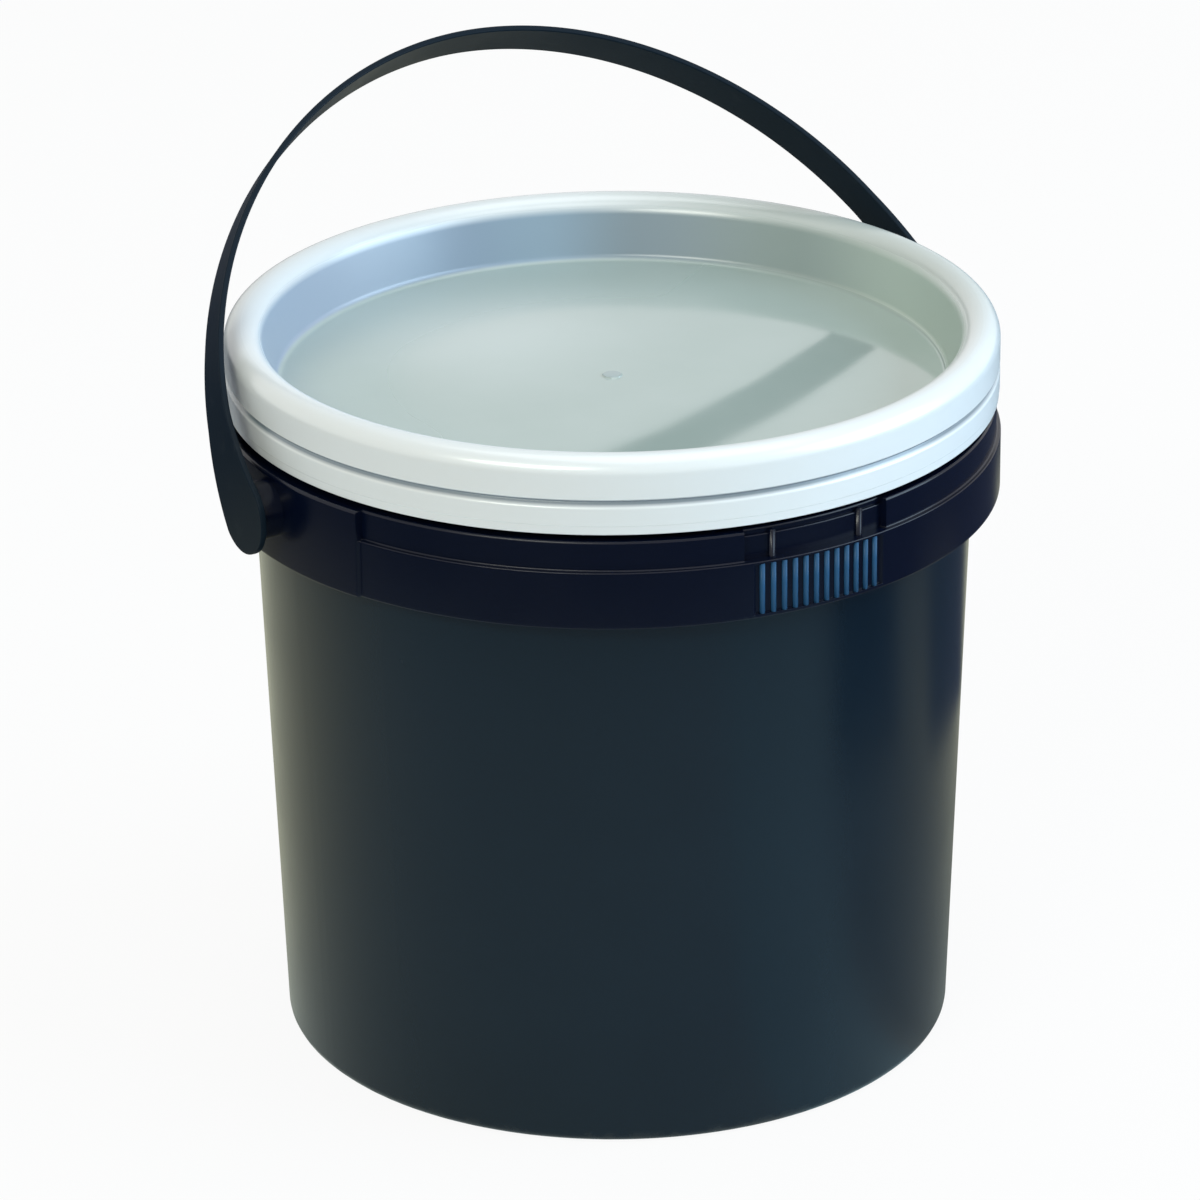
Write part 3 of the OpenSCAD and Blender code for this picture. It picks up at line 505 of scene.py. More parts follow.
# the pail's wall, collar, pads and notch are one skin; its pivot bosses, the webs behind the
# collar and the grip ribs are pieces of their own
pail = {
    "baseRadius": 99.5 * mm,
    "draft": math.radians(2),
    "wall": 1.6 * mm,
    "floor": 4 * mm,
    "foot": (3 * mm, 7 * mm, 2 * mm),   # corner, width and height of the foot ring
    "bead": (2.6 * mm, 7 * mm),         # how far the rim stands out, and its height
    "collarTop": 194 * mm,
    "collarLow": 168 * mm,
    "tier": 185 * mm,
    "collarWall": 2 * mm,
    "tierRadius": 113.477 * mm,
    "upperRadius": 112.177 * mm,
    "padRadius": 114.577 * mm,
    "innerStep": 1.3 * mm,              # how far the collar's inside steps in above the tier
    "padHalf": 20,                      # degrees
    "notchHalf": 12,
    "notchDepth": 2.7 * mm,
    "pocketDepth": 0.8 * mm,
    "pocketTop": 0.8 * mm,              # how far the ribs' pocket stays below the tier
    "pocketLow": 1.2 * mm,              # and above the collar's foot
    "pocketLip": 0.06 * mm,             # slope of its edges
    "ribEnd": 1.2 * mm,
    "ribs": 12,
    "ribPitch": 3.4 * mm,
    "ribRadius": 0.8 * mm,
    "webs": 24,
    "webWall": 1.4 * mm,
    "webFoot": 3 * mm,                  # how far the webs end above the collar's foot
    "rounds": {
        "floor": 1.5 * mm, "bead": 0.6 * mm, "beadRoot": 0.8 * mm, "root": 0.8 * mm, "top": 1.0 * mm,
        "tier": 0.5 * mm, "pocket": 0.03 * mm, "edge": 0.4 * mm, "inner": 0.3 * mm, "foot": 0.6 * mm,
    },
    "rimFlat": 0.02 * mm,               # what the rim's full round leaves on each side
    "edgeBlend": 0.12,                  # half the width of a moulded step, degrees
    "segments": 288,
    "sharp": 35,
}
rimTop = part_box("bucket")[1].z


def wallRadius(z):
    return pail["baseRadius"] + (z - pail["foot"][0]) * math.tan(pail["draft"])


def pocketHalf():
    return math.degrees((pail["ribs"] + 0.5) * pail["ribPitch"] / 2 / pail["tierRadius"])


def within(angle, middle, half):
    off = abs((angle - middle + 180) % 360 - 180) - half
    u = min(max(0.5 - off / (2 * pail["edgeBlend"]), 0), 1)
    return u * u * (3 - 2 * u)


def pailCorners(angle):
    k = pail
    pad = max(within(angle, 0, k["padHalf"]), within(angle, 180, k["padHalf"]))
    notch = within(angle, 270, k["notchHalf"]) * k["notchDepth"]
    pocket = within(angle, 270, pocketHalf()) * k["pocketDepth"]
    upper = k["upperRadius"] + pad * (k["padRadius"] - k["upperRadius"]) - notch
    tier = k["tierRadius"] + pad * (k["padRadius"] - k["tierRadius"])
    wall, apron = k["wall"], k["collarWall"]
    corner, footWide, footHigh = k["foot"]
    beadOut, beadHigh = k["bead"]
    rimOut = wallRadius(rimTop) + beadOut
    rimIn = wallRadius(rimTop) - wall
    rimRound = (rimOut - rimIn) / 2 - k["rimFlat"]
    beadFoot = rimTop - beadHigh
    top, low, step = k["collarTop"], k["collarLow"], k["tier"]
    inner = k["tierRadius"] - apron
    pocketTop, pocketLow = step - k["pocketTop"], low + k["pocketLow"]
    lip, r = k["pocketLip"], k["rounds"]
    footIn = k["baseRadius"] - corner - footWide
    return [
        (0, k["floor"], 0), (wallRadius(k["floor"]) - wall, k["floor"], r["floor"]),
        (rimIn, rimTop, rimRound), (rimOut, rimTop, rimRound),
        (rimOut, beadFoot, r["bead"]), (wallRadius(beadFoot), beadFoot - beadOut, r["beadRoot"]),
        (wallRadius(top), top, r["root"]), (upper, top, r["top"]),
        (upper, step, r["tier"]), (tier, step, r["tier"]),
        (tier, pocketTop + lip, r["pocket"]), (tier - pocket, pocketTop, r["pocket"]),
        (tier - pocket, pocketLow, r["pocket"]), (tier, pocketLow - lip, r["pocket"]),
        (tier, low, r["edge"]), (inner, low, r["edge"]), (inner, step - apron, r["edge"]),
        (inner - k["innerStep"], step - apron / 2, r["inner"]),
        (inner - k["innerStep"], top - apron, r["tier"]),
        (wallRadius(top - apron), top - apron, r["tier"]),
        (wallRadius(0), 0, corner), (footIn, 0, r["foot"]),
        (footIn, footHigh, r["foot"]), (0, footHigh, 0),
    ]


def pailAngles():
    # even angles, with a few close ones in place of them at each moulded step
    steps = ((0, pail["padHalf"]), (180, pail["padHalf"]), (270, pail["notchHalf"]), (270, pocketHalf()))
    marks = [a + s * h for a, h in steps for s in (-1, 1)]
    near = pail["edgeBlend"]
    extra = [(m + d * near) % 360 for m in marks for d in (-2.2, -1, 0, 1, 2.2)]
    every = [360 * i / pail["segments"] for i in range(pail["segments"])]
    kept = [a for a in every if all(abs((a - m + 180) % 360 - 180) > 3 * near for m in marks)]
    return sorted(kept + extra)


def pailShell():
    angles = pailAngles()
    verts, faces = [], []
    for a in angles:
        c, s = math.cos(math.radians(a)), math.sin(math.radians(a))
        verts += [(r * c, r * s, z) for r, z in roundedProfile(pailCorners(a))]
    n = len(verts) // len(angles)
    for i in range(len(angles)):
        here, there = i * n, ((i + 1) % len(angles)) * n
        faces += [(here + j, there + j, there + j + 1, here + j + 1) for j in range(n - 1)]
    obj = objectOf("pailShell", verts, faces)
    obj.data.materials.append(pailBlack)
    nearest = 0.1 * sameSpot        # finer, so that the pocket's small rounds keep their points
    bm = bmesh.new()
    bm.from_mesh(obj.data)
    bmesh.ops.remove_doubles(bm, verts=bm.verts, dist=nearest)
    bmesh.ops.dissolve_degenerate(bm, edges=bm.edges, dist=nearest)
    bmesh.ops.recalc_face_normals(bm, faces=bm.faces)
    bm.to_mesh(obj.data)
    bm.free()
    return obj


def aroundTree(tree, inputs, piece, turn):
    # a copy of the piece on each of Count points at the middle, turned round Z
    spots = addNode(tree, "GeometryNodePoints", {"Count": inputs["Count"]}).outputs[0]
    spin = addNode(tree, "ShaderNodeCombineXYZ", {2: turn}).outputs[0]
    copies = addNode(tree, "GeometryNodeInstanceOnPoints", {
        "Points": spots, "Instance": piece, "Rotation": spin})
    return endTree(tree, copies.outputs[0], inputs["Finish"])


def websTree():
    names = {"Count": "Int", "Web": "Float", "Inner": "Float", "Outer": "Float",
             "Low": "Float", "High": "Float"}
    tree, inputs = newTree("websBehindCollar", names)
    deep = maths(tree, "SUBTRACT", inputs["Outer"], inputs["Inner"])
    tall = maths(tree, "SUBTRACT", inputs["High"], inputs["Low"])
    size = addNode(tree, "ShaderNodeCombineXYZ", {0: deep, 1: inputs["Web"], 2: tall}).outputs[0]
    slab = addNode(tree, "GeometryNodeMeshCube", {"Size": size}).outputs["Mesh"]
    middle = addNode(tree, "ShaderNodeCombineXYZ", {
        0: maths(tree, "MULTIPLY", maths(tree, "ADD", inputs["Outer"], inputs["Inner"]), 0.5),
        2: maths(tree, "MULTIPLY", maths(tree, "ADD", inputs["High"], inputs["Low"]), 0.5)}).outputs[0]
    slab = addNode(tree, "GeometryNodeTransform", {"Geometry": slab, "Translation": middle}).outputs[0]
    index = addNode(tree, "GeometryNodeInputIndex").outputs[0]
    share = maths(tree, "DIVIDE", maths(tree, "ADD", index, 0.5), inputs["Count"])
    return aroundTree(tree, inputs, slab, maths(tree, "MULTIPLY", share, 2 * math.pi))


def ribsTree():
    names = {"Count": "Int", "Pitch": "Float", "Arc": "Float", "Rib": "Float",
             "Low": "Float", "High": "Float"}
    tree, inputs = newTree("gripRibs", names)
    sides, rings, squash = 20, 8, 0.7
    tall = maths(tree, "SUBTRACT", inputs["High"], inputs["Low"])
    rod = addNode(tree, "GeometryNodeMeshCylinder", {
        "Vertices": sides, "Radius": inputs["Rib"], "Depth": tall})
    ball = addNode(tree, "GeometryNodeMeshUVSphere", {
        "Segments": sides, "Rings": rings, "Radius": inputs["Rib"]})
    half = maths(tree, "MULTIPLY", tall, 0.5)
    shape = addNode(tree, "GeometryNodeJoinGeometry")
    tree.links.new(rod.outputs["Mesh"], shape.inputs[0])
    for way in (-1, 1):
        to = addNode(tree, "ShaderNodeCombineXYZ", {2: maths(tree, "MULTIPLY", half, way)}).outputs[0]
        cap = addNode(tree, "GeometryNodeTransform", {
            "Geometry": ball.outputs["Mesh"], "Translation": to, "Scale": (1, 1, squash)}).outputs[0]
        tree.links.new(cap, shape.inputs[0])
    middle = addNode(tree, "ShaderNodeCombineXYZ", {
        0: inputs["Arc"], 2: maths(tree, "ADD", inputs["Low"], half)}).outputs[0]
    bar = addNode(tree, "GeometryNodeTransform", {
        "Geometry": shape.outputs[0], "Translation": middle}).outputs[0]
    index = addNode(tree, "GeometryNodeInputIndex").outputs[0]
    last = maths(tree, "MULTIPLY", maths(tree, "SUBTRACT", inputs["Count"], 1), 0.5)
    turn = maths(tree, "MULTIPLY", maths(tree, "SUBTRACT", index, last),
                 maths(tree, "DIVIDE", inputs["Pitch"], inputs["Arc"]))
    return aroundTree(tree, inputs, bar, maths(tree, "SUBTRACT", turn, math.pi / 2))


boss = {
    "radius": 8.5 * mm,
    "bore": 4.08 * mm,
    "edge": 0.7 * mm,
    "seat": 111.077 * mm,       # inside face that the stud's head bears on
    "seatHalf": 8 * mm,
    "seatGap": 0.2 * mm,        # between the room behind the seat and the wall
    "seatLow": 1 * mm,          # that room starts this far below the collar
    "seatTop": 0.5 * mm,        # and ends this far under the collar's top wall
    "sleeveIn": 1 * mm,         # the sleeve starts this far outside the seat
    "boreReach": (-8 * mm, 12 * mm),
    "pivot": 183.4 * mm,
}


def cutAway(obj, tool):
    mod = obj.modifiers.new("cut", "BOOLEAN")
    mod.operation = "DIFFERENCE"
    mod.solver = "EXACT"
    mod.object = tool
    made = flattened(obj)
    bpy.data.objects.remove(tool)
    return made


def boxObject(name, low, high):
    bm = bmesh.new()
    bmesh.ops.create_cube(bm, size=1)
    for v in bm.verts:
        v.co = Vector([l + (c + 0.5) * (h - l) for l, h, c in zip(low, high, v.co)])
    mesh = bpy.data.meshes.new(name)
    bm.to_mesh(mesh)
    bm.free()
    return placed(name, mesh)


def pivotBoss(name, side):
    # a sleeve that stands out from the pad
    start = boss["seat"] + boss["sleeveIn"]
    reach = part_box("bucket")[1].x - start
    sleeve = roundedProfile([
        (boss["bore"], 0, 0), (boss["radius"], 0, 0), (boss["radius"], reach, boss["edge"]),
        (boss["bore"], reach, 0), (boss["bore"], 0, 0)], 4)
    return turnedAcross(name, sleeve, pailBlack, 96, side, (side * start, 0, boss["pivot"]))


def cutBossSeat(shell, side):
    # the bore through the pad, and the room behind it for the stud's head
    start, end = boss["boreReach"]
    hole = [(0, start), (boss["bore"], start), (boss["bore"], end), (0, end)]
    at = (side * (boss["seat"] + boss["sleeveIn"]), 0, boss["pivot"])
    shell = cutAway(shell, turnedAcross("bossBore", hole, pailBlack, 48, side, at))
    near, far = side * (wallRadius(pail["collarTop"]) + boss["seatGap"]), side * boss["seat"]
    low = (min(near, far), -boss["seatHalf"], pail["collarLow"] - boss["seatLow"])
    top = pail["collarTop"] - pail["collarWall"] - boss["seatTop"]
    return cutAway(shell, boxObject("bossSeat", low, (max(near, far), boss["seatHalf"], top)))


def buildPail():
    shell = pailShell()
    bosses = []
    for side, name in ((1, "pivotBossRight"), (-1, "pivotBossLeft")):
        bosses.append(pivotBoss(name, side))
        shell = cutBossSeat(shell, side)
    shell = smoothed(shell, pail["sharp"])
    low, top = pail["collarLow"], pail["collarTop"]
    webs = grown("collarWebs", websTree(), pailBlack, {
        "Count": pail["webs"], "Web": pail["webWall"],
        "Inner": wallRadius(low) - pail["wall"] / 2, "Outer": pail["upperRadius"] - pail["collarWall"] / 2,
        "Low": low + pail["webFoot"], "High": top - pail["collarWall"] / 2})
    ribs = grown("gripRibs", ribsTree(), ribPaintedSheen, {
        "Count": pail["ribs"], "Pitch": pail["ribPitch"], "Arc": pail["tierRadius"] - pail["ribRadius"],
        "Rib": pail["ribRadius"], "Low": low + pail["ribEnd"], "High": pail["tier"] - pail["ribEnd"]})
    for piece in (shell, *bosses, webs, ribs):
        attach(piece, "pail")
        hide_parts("bucket")


buildPail()
print("pail built")


# the lid is one turned section
lid = {
    "thick": 1.6 * mm,
    "grooveDeep": 1.5 * mm,     # the snap bead behind the groove
    "grooveHalf": 2.2 * mm,
    "grooveDrop": 12.7 * mm,
    "creaseDeep": 1.35 * mm,    # the sharp crease in front of the bead
    "creaseTop": 1.0 * mm,      # its upper lip and its ledge, from the middle of the groove
    "creaseLow": 1.7 * mm,
    "creaseFall": 0.1 * mm,     # how far its bottom lies under the groove's middle
    "lipHigh": 2.6 * mm,        # the thinner lip at the foot of the skirt
    "lipStep": 0.22 * mm,
    "lipFade": 0.3 * mm,
    "footLand": 1.2 * mm,       # each land is a short flat beside a round
    "crownOut": 5 * mm,
    "crownIn": 6.5 * mm,
    "crownStep": 0.1 * mm,      # between the two centres of the crown's rounds
    "crownLand": 0.2 * mm,
    "panelDrop": 18.5 * mm,
    "slope": 14,                # degrees from upright
    "fillet": 2.5 * mm,
    "gateRadius": 3.0 * mm,     # the small mark of the mould's gate on the panel
    "gateHigh": 0.5 * mm,
    "gateSlope": 0.4 * mm,
    "panelLand": 0.6 * mm,
    "rounds": {
        "gate": 0.3 * mm, "gateTop": 0.15 * mm, "foot": 0.6 * mm, "lip": 0.15 * mm,
        "lipTop": 0.25 * mm, "creaseLow": 0.9 * mm, "crease": 0.25 * mm, "creaseTop": 0.7 * mm,
    },
    "segments": 288,
    "sharp": 50,
}


def lidSection(k):
    low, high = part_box("lid")
    outR, top, foot = high.x, high.z, low.z
    panel = top - k["panelDrop"]
    t, r = k["thick"], k["rounds"]
    grooveZ = top - k["grooveDrop"]
    grooveR = (k["grooveDeep"] ** 2 + k["grooveHalf"] ** 2) / (2 * k["grooveDeep"])
    grooveC = (outR - k["grooveDeep"] + grooveR, grooveZ)
    outC = (outR - k["crownOut"], top - k["crownOut"])
    inC = (outC[0] - k["crownStep"], top - k["crownIn"])
    edge = arcPoints(inC, k["crownIn"], 180 - k["slope"], 180 - k["slope"], 1)[0]
    footR = edge[0] - (edge[1] - panel) * math.tan(math.radians(k["slope"]))
    lean = math.tan(math.radians(90 - k["slope"]) / 2)
    filletC = (footR - k["fillet"] * lean, panel + k["fillet"])
    halfIn = math.degrees(math.acos((grooveC[0] - outR + t) / (grooveR + t)))
    gateTop = panel + k["gateHigh"]
    gate = roundedProfile([
        (filletC[0] - k["panelLand"], panel, 0), (k["gateRadius"], panel, r["gate"]),
        (k["gateRadius"] - k["gateSlope"], gateTop, r["gateTop"]), (0, gateTop, 0)], 3)
    lipR = outR - k["lipStep"]
    lipTop = foot + k["lipHigh"]
    skirt = roundedProfile([
        (outR - t, foot + k["footLand"], 0), (outR - t, foot, r["foot"]), (lipR, foot, r["foot"]),
        (lipR, lipTop, r["lip"]), (outR, lipTop + k["lipFade"], r["lipTop"]),
        (outR, grooveZ - k["creaseLow"], r["creaseLow"]),
        (outR - k["creaseDeep"], grooveZ - k["creaseFall"], r["crease"]),
        (outR, grooveZ + k["creaseTop"], r["creaseTop"]), (outR, outC[1] - k["crownLand"], 0)], 4)
    return (
        [(0, panel - t)]
        + arcPoints(filletC, k["fillet"] + t, -90, -k["slope"], 6)
        + arcPoints(inC, k["crownIn"] - t, 180 - k["slope"], 90, 8)
        + arcPoints(outC, k["crownOut"] - t, 90, 0, 8)
        + arcPoints(grooveC, grooveR + t, 180 - halfIn, 180 + halfIn, 6)
        + skirt
        + arcPoints(outC, k["crownOut"], 0, 90, 14)
        + arcPoints(inC, k["crownIn"], 90, 180 - k["slope"], 14)
        + arcPoints(filletC, k["fillet"], -k["slope"], -90, 8)
        + gate)


def buildLid():
    obj = turnedPiece("lidShell", lidSection(lid), lidWhite, lid["segments"])
    obj = smoothed(obj, lid["sharp"])
    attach(obj, "lid")
    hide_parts("lid")


buildLid()
print("lid built")


# the handle is a strap with round ends and snap studs
strap = {
    "lean": math.radians(43.8),
    "archHigh": 129.6 * mm,
    "power": 1.021,
    "wide": 12.4 * mm,
    "thick": 1.8 * mm,
    "paddle": 12 * mm,
    "shoulder": 52 * mm,
    "flare": 1.2 * mm,
    "flareAt": 0.55,            # of the shoulder's height
    "edge": 0.45 * mm,
    "edgeMost": 0.9,            # of half the width, where the strap narrows to its tip
    "tip": 0.25 * mm,
    "stations": 180,
    "endStations": 14,
    "stud": 4 * mm,
    "studIn": 110.777 * mm,
    "headRadius": 5.6 * mm,
    "headThick": 2.2 * mm,
    "headRim": 0.5 * mm,
    "headRounds": (0.3 * mm, 0.2 * mm, 0.15 * mm),
}
strap["archRadius"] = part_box("handle")[1].x - strap["thick"] / 2


def strapHalf(v):
    # half the width at a height above the pivots
    k = strap
    if v <= 0:
        return math.sqrt(max(k["paddle"] ** 2 - v * v, 0))
    knots = [(0, k["paddle"]), (k["flareAt"] * k["shoulder"], k["wide"] / 2 + k["flare"]),
             (k["shoulder"], k["wide"] / 2)]
    for (a, wa), (b, wb) in zip(knots, knots[1:]):
        if v <= b:
            return wa + (wb - wa) * (v - a) / (b - a)
    return k["wide"] / 2


def strapStations():
    # (x, height, outward normal) along the middle line, from one round end to the other
    k = strap
    ends = k["endStations"]
    out = []
    for i in range(ends):
        drop = k["paddle"] * math.cos(math.pi / 2 * i / ends)
        out.append((k["archRadius"], -drop, 1, 0))
    n = k["stations"]
    for i in range(n + 1):
        a = math.pi * i / n
        c, s = math.cos(a), math.sin(a)
        x = k["archRadius"] * math.copysign(abs(c) ** k["power"], c)
        v = k["archHigh"] * abs(s) ** k["power"]
        nx, nv = c / k["archRadius"], s / k["archHigh"]
        size = math.hypot(nx, nv)
        out.append((x, v, nx / size, nv / size))
    return out + [(-x, v, -nx, nv) for x, v, nx, nv in reversed(out[:ends])]


def strapRing(half, thick, edge):
    # rounded rectangle: (across the width, through the thickness)
    edge = min(edge, half * strap["edgeMost"])
    ring = []
    for cx, cy, start in ((1, 1, 0), (-1, 1, 90), (-1, -1, 180), (1, -1, 270)):
        centre = (cx * (half - edge), cy * (thick / 2 - edge))
        ring += arcPoints(centre, edge, start, start + 90, 4)
    return ring


def strapBand(k):
    verts, faces = [], []
    stations = strapStations()
    for x, v, nx, nv in stations:
        ring = strapRing(max(strapHalf(v), k["tip"]), k["thick"], k["edge"])
        verts += [(x + nx * t, w, v + nv * t) for w, t in ring]
    n = len(ring)
    for i in range(len(stations) - 1):
        here, there = i * n, (i + 1) * n
        faces += [(here + j, here + (j + 1) % n, there + (j + 1) % n, there + j) for j in range(n)]
    faces += [tuple(range(n)), tuple(range(len(verts) - n, len(verts)))]
    band = outward(objectOf("strapBand", verts, faces))
    band.data.materials.append(strapBlack)
    return smoothed(band)


def strapStud(k, side):
    long = k["archRadius"] - k["studIn"]
    back, rim, front = k["headRounds"]
    profile = roundedProfile([
        (0, -k["headThick"], 0), (k["stud"], -k["headThick"], back),
        (k["headRadius"], -k["headRim"], rim), (k["headRadius"], 0, front),
        (k["stud"], 0, 0), (k["stud"], long, 0), (0, long, 0)], 3)
    return turnedAcross("strapStud", profile, strapBlack, 64, side, (side * k["studIn"], 0, 0))


def buildStrap():
    obj = joined("strapHandle", [strapBand(strap), strapStud(strap, 1), strapStud(strap, -1)])
    pivot = Vector((0, 0, boss["pivot"]))
    obj.data.transform(Matrix.Translation(pivot) @ Matrix.Rotation(-strap["lean"], 4, "X"))
    obj = smoothed(obj)
    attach(obj, "handle")
    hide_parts("handle")


buildStrap()
print("handle built")


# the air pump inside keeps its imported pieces, and only gets its finishes here
pumpLooks = {
    "caseGrey": {
        "nodes": ("aerator_bracket", "case_back", "case_front", "battery_door"),
        "tone": (0.36, 0.40, 0.42), "pale": (0.45, 0.49, 0.51), "cloud": 30,
        "gloss": (0.42, 0.58), "grain": (1500, 0.00004),
    },
    "switchBlack": {
        "nodes": ("switch_body", "switch_slider"),
        "tone": (0.012, 0.012, 0.013), "pale": (0.022, 0.022, 0.024), "cloud": 90,
        "gloss": (0.35, 0.50), "grain": (2400, 0.00003),
    },
    "screwSteel": {
        "nodes": ("bracket_screws", "case_screws", "arm_pin"),
        "tone": (0.52, 0.53, 0.54), "pale": (0.66, 0.66, 0.67), "cloud": 160, "metal": 1,
        "gloss": (0.22, 0.38), "grain": (2600, 0.00001), "stretch": (1, 0.08, 1),
    },
    "motorCan": {
        "nodes": ("motor",),
        "tone": (0.50, 0.51, 0.52), "pale": (0.62, 0.62, 0.62), "cloud": 70, "metal": 1,
        "gloss": (0.24, 0.42), "grain": (1800, 0.00001), "stretch": (1, 0.04, 1),
    },
    "contactSpring": {
        "nodes": ("contact_bridge", "contact_leaves"),
        "tone": (0.50, 0.50, 0.47), "pale": (0.70, 0.70, 0.68), "cloud": 240, "metal": 1,
        "gloss": (0.18, 0.34), "grain": (2200, 0.00001), "stretch": (0.06, 1, 1),
    },
    "blackRubber": {
        "nodes": ("case_seal", "diaphragm", "valve_flaps"),
        "tone": (0.018, 0.018, 0.019), "pale": (0.040, 0.040, 0.042), "cloud": 120,
        "gloss": (0.62, 0.82), "grain": (1900, 0.00004),
    },
    "milkyPlastic": {
        "nodes": ("rocker_arm", "pump_head", "outlet_barb", "tube_clips"),
        "tone": (0.66, 0.72, 0.74), "pale": (0.78, 0.82, 0.83), "cloud": 60, "clear": 0.35,
        "gloss": (0.18, 0.30), "grain": (900, 0.00001),
    },
    "siliconeTube": {
        "nodes": ("air_tube",),
        "tone": (0.62, 0.67, 0.67), "pale": (0.78, 0.82, 0.82), "cloud": 130, "clear": 0.6,
        "gloss": (0.16, 0.30), "grain": (700, 0.00002), "stretch": (1, 1, 0.1),
    },
}


def pumpFinish(name, k):
    mat, tree, shader, coords = newFinish(name)
    stretch = k.get("stretch", (1, 1, 1))
    cloud = noiseOf(tree, coords, k["cloud"], 4, stretch)
    grainScale, grainDeep = k["grain"]
    base = tinted(tree, ranged(tree, cloud, *tightSpan), k["tone"], k["pale"])
    painted(tree, shader, base, ranged(tree, cloud, *midSpan, *k["gloss"]))
    shader.inputs["Metallic"].default_value = k.get("metal", 0)
    shader.inputs["Transmission Weight"].default_value = k.get("clear", 0)
    bumped(tree, shader, [(noiseOf(tree, coords, grainScale, 2, stretch), grainDeep)])
    return mat


cellLook = {
    "wrap": (0.030, 0.085, 0.19),
    "wrapPale": (0.040, 0.105, 0.23),
    "band": (0.52, 0.53, 0.55),
    "steel": (0.60, 0.60, 0.61),
    "bandShare": (0.70, 0.80),      # where a plain pale band runs round the wrap, of the cell's length
    "bandMetal": 0.8,
    "endBare": 1.4 * mm,            # bare steel at each end
    "soft": 0.004,                  # blend at each edge, of the cell's length
    "cloud": 150,
    "gloss": (0.19, 0.32),
    "grain": (500, 0.00001),
}


def cellFinish(k):
    mat, tree, shader, coords = newFinish("cellWrap")
    low, high = (c.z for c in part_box("cell_left"))
    place = addNode(tree, "ShaderNodeSeparateXYZ", {0: coords}).outputs
    up = ranged(tree, place[2], low, high)
    first, last = k["bandShare"]
    soft = k["soft"]
    band = maths(tree, "MULTIPLY", ranged(tree, up, first, first + soft),
                 ranged(tree, up, last, last + soft, 1, 0))
    share = k["endBare"] / (high - low)
    bare = maths(tree, "MAXIMUM", ranged(tree, up, share, share + soft, 1, 0),
                 ranged(tree, up, 1 - share - soft, 1 - share))
    cloud = noiseOf(tree, coords, k["cloud"], 3)
    base = tinted(tree, ranged(tree, cloud, *tightSpan), k["wrap"], k["wrapPale"])
    base = tinted(tree, bare, tinted(tree, band, base, k["band"]), k["steel"])
    painted(tree, shader, base, ranged(tree, cloud, *midSpan, *k["gloss"]))
    metal = maths(tree, "MAXIMUM", bare, maths(tree, "MULTIPLY", band, k["bandMetal"]))
    tree.links.new(metal, shader.inputs["Metallic"])
    scale, deep = k["grain"]
    bumped(tree, shader, [(noiseOf(tree, coords, scale, 2), deep)])
    return mat


crankLook = {
    "brass": (0.62, 0.42, 0.16),
    "dull": (0.46, 0.31, 0.13),
    "dullFrom": (0.4, 0.7),
    "cloud": 320,
    "gloss": (0.24, 0.39),
    "turnPitch": 0.16 * mm,         # spacing of the lathe's marks
    "turnDeep": 0.012 * mm,
}


def crankFinish(k):
    mat, tree, shader, coords = newFinish("turnedBrass")
    middle = sum(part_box("crank"), Vector()) / 2
    spot = addNode(tree, "ShaderNodeMapping", {"Vector": coords, "Location": -middle}).outputs[0]
    flat = addNode(tree, "ShaderNodeVectorMath", {0: spot, 1: (1, 0, 1)}, operation="MULTIPLY").outputs[0]
    out = reachOf(tree, flat)
    marks = maths(tree, "SINE", maths(tree, "MULTIPLY", out, 2 * math.pi / k["turnPitch"]))
    cloud = noiseOf(tree, coords, k["cloud"], 4)
    base = tinted(tree, ranged(tree, cloud, *k["dullFrom"]), k["brass"], k["dull"])
    painted(tree, shader, base, ranged(tree, cloud, *midSpan, *k["gloss"]))
    shader.inputs["Metallic"].default_value = 1
    bumped(tree, shader, [(marks, k["turnDeep"])])
    return mat


stoneLook = {
    "grit": (0.22, 0.33, 0.45),
    "pale": (0.46, 0.56, 0.66),
    "dark": (0.06, 0.10, 0.15),
    "darkFrom": (0.35, 0.7),        # how far from a grain's middle the gap between grains starts
    "gloss": (0.7, 0.95),
    "grain": (1400, 0.00035),       # grains per metre, and their depth
    "grainReach": 0.8,
}


def stoneFinish(k):
    mat, tree, shader, coords = newFinish("bondedGrit")
    scale, deep = k["grain"]
    cells = addNode(tree, "ShaderNodeTexVoronoi", {"Vector": coords, "Scale": scale}).outputs
    shade = addNode(tree, "ShaderNodeSeparateXYZ", {0: cells["Color"]}).outputs[0]
    base = tinted(tree, shade, k["grit"], k["pale"])
    base = tinted(tree, ranged(tree, cells["Distance"], *k["darkFrom"]), base, k["dark"])
    painted(tree, shader, base, ranged(tree, shade, 0, 1, *k["gloss"]))
    bumped(tree, shader, [(ranged(tree, cells["Distance"], 0, k["grainReach"], 1, 0), deep)])
    return mat


def finishNode(node, mat):
    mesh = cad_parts[node].data
    mesh.materials.clear()
    mesh.materials.append(mat)


for name, look in pumpLooks.items():
    finish = pumpFinish(name, look)
    for node in look["nodes"]:
        finishNode(node, finish)
cellWrap = cellFinish(cellLook)
finishNode("cell_left", cellWrap)
finishNode("cell_right", cellWrap)
finishNode("crank", crankFinish(crankLook))
finishNode("air_stone", stoneFinish(stoneLook))
print("pump inside finished")


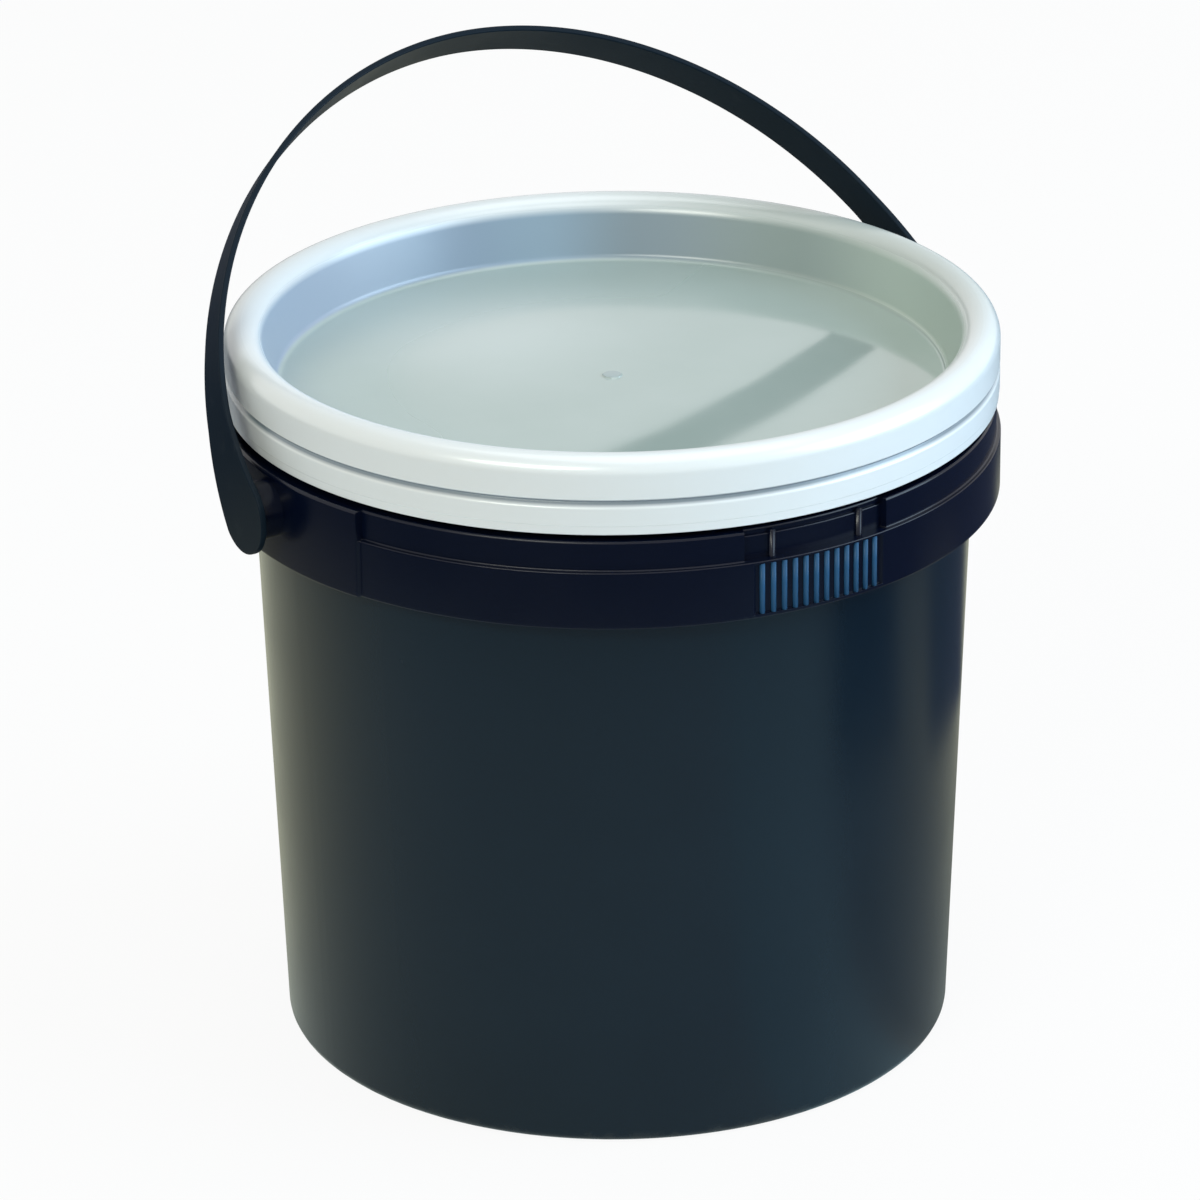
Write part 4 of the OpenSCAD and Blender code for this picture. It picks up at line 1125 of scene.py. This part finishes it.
# studio: a pale floor and room, three lamps, and what the glossy skin mirrors
studio = {
    "floorSize": 8,
    "floorTone": 0.86,
    "floorRough": 0.7,
    "floorShine": 0.2,
    "paper": 1.0,                   # how bright the floor and the room look
    "paperShare": 0.92,             # how much of that the floor shows the camera
    "mirrorShare": 0.95,            # and the glossy skin
    "sheetRadius": 0.46,            # the bright sheet that the glossy skin mirrors, and the room past it
    "sheetBlend": 0.05,
    "warmSheet": (0.74, 0.76, 0.58),
    "coolSheet": (0.56, 0.70, 0.76),
    "coolFrom": (-0.34, -0.94),     # the side of the pail that the cool sheet lies on
    "coolBlend": (-0.15, 0.2),
    "patchSoft": 0.25,              # of a patch's half width
    "patchBlend": 0.03,
    "patches": [
        # what else the skin mirrors: middle and half width in degrees, from which radius, how much, colour
        (-74, 16, 0.0, 0.5, (0.52, 0.86, 1.0)),
        (-17, 40, 0.0, 0.55, (0.05, 0.05, 0.04)),
        (-42, 13, 0.285, 0.9, (0.02, 0.02, 0.07)),
        (6, 18, 0.245, 1.0, (0.04, 0.05, 0.09)),
    ],
    "room": (0.02, 0.03, 0.07),
    "surround": (0.30, 0.31, 0.30),
    "lamps": [
        # name, place, aim, width, height, watts, colour
        ("skyPanel", (0.3, 0.0, 2.3), (0, 0, 0.1), 2.2, 1.6, 16, (0.97, 1.0, 1.0)),
        ("windowLeft", (-2.0, -1.3, 1.7), (0, 0, 0.12), 1.4, 0.5, 27, (0.98, 1.0, 0.88)),
        ("coolRight", (1.6, -1.3, 1.0), (0, 0, 0.12), 1.8, 1.6, 42, (0.58, 0.80, 1.0)),
    ],
}


def makeLamp(name, place, aim, wide, high, watts, colour):
    data = bpy.data.lights.new(name, "AREA")
    data.shape = "RECTANGLE"
    data.size, data.size_y = wide, high
    data.energy = watts
    data.color = colour
    lamp = bpy.data.objects.new(name, data)
    lamp.location = place
    lamp.rotation_euler = (Vector(aim) - Vector(place)).to_track_quat("-Z", "Y").to_euler()
    bpy.context.scene.collection.objects.link(lamp)


def mirroredSheet(tree, coords, k):
    # the sheet round the pail with its patches, and the dark room past it
    out = reachOf(tree, coords)
    edge, blend = k["sheetRadius"], k["sheetBlend"]
    past = ranged(tree, out, edge - blend, edge + blend, smooth=True)
    spot = addNode(tree, "ShaderNodeSeparateXYZ", {0: coords}).outputs
    cool = ranged(tree, alongOf(tree, coords, k["coolFrom"]), *k["coolBlend"], smooth=True)
    sheet = tinted(tree, cool, k["warmSheet"], k["coolSheet"])
    angle = maths(tree, "ARCTAN2", spot[1], spot[0])
    for middle, half, start, share, colour in k["patches"]:
        turn = maths(tree, "ABSOLUTE", maths(tree, "SUBTRACT", angle, math.radians(middle)))
        full, gone = (math.radians(half * (1 + s * k["patchSoft"])) for s in (-1, 1))
        across = ranged(tree, turn, full, gone, share, 0, smooth=True)
        beyond = ranged(tree, out, start, start + k["patchBlend"], smooth=True)
        sheet = tinted(tree, maths(tree, "MULTIPLY", across, beyond), sheet, colour)
    return tinted(tree, past, sheet, k["room"])


def floorFinish(k):
    # bright paper to the camera, the sheet to glossy skin, a plain floor to all other light
    mat, tree, shader, coords = newFinish("paleFloor")
    shader.inputs["Base Color"].default_value = (k["floorTone"],) * 3 + (1,)
    shader.inputs["Roughness"].default_value = k["floorRough"]
    shader.inputs["Specular IOR Level"].default_value = k["floorShine"]
    path = addNode(tree, "ShaderNodeLightPath").outputs
    colour = tinted(tree, path["Is Glossy Ray"], (1, 1, 1), mirroredSheet(tree, coords, k))
    glow = addNode(tree, "ShaderNodeEmission", {"Color": colour, "Strength": k["paper"]})
    seen = maths(tree, "MAXIMUM", path["Is Camera Ray"], path["Is Transmission Ray"])
    share = maths(tree, "MAXIMUM", maths(tree, "MULTIPLY", seen, k["paperShare"]),
                  maths(tree, "MULTIPLY", path["Is Glossy Ray"], k["mirrorShare"]))
    mix = addNode(tree, "ShaderNodeMixShader", {0: share, 1: shader.outputs[0], 2: glow.outputs[0]})
    tree.links.new(mix.outputs[0], tree.nodes["Material Output"].inputs["Surface"])
    return mat


def makeStudio(k):
    bpy.context.scene.view_settings.view_transform = "Standard"
    edge = k["floorSize"] / 2
    corners = [(-edge, -edge, 0), (edge, -edge, 0), (edge, edge, 0), (-edge, edge, 0)]
    floor = objectOf("studioFloor", corners, [(0, 1, 2, 3)])
    floor.data.materials.append(floorFinish(k))
    world = bpy.data.worlds.new("studio")
    world.use_nodes = True
    bpy.context.scene.world = world
    tree = world.node_tree
    tree.nodes["Background"].inputs["Color"].default_value = (*k["surround"], 1)
    paper = addNode(tree, "ShaderNodeBackground", {"Color": (1, 1, 1, 1), "Strength": k["paper"]})
    path = addNode(tree, "ShaderNodeLightPath").outputs
    seen = maths(tree, "MAXIMUM", maths(tree, "MAXIMUM", path["Is Camera Ray"], path["Is Glossy Ray"]),
                 path["Is Transmission Ray"])
    mix = addNode(tree, "ShaderNodeMixShader", {
        0: seen, 1: tree.nodes["Background"].outputs[0], 2: paper.outputs[0]})
    tree.links.new(mix.outputs[0], tree.nodes["World Output"].inputs["Surface"])
    for lamp in k["lamps"]:
        makeLamp(*lamp)


makeStudio(studio)
print("studio lit")
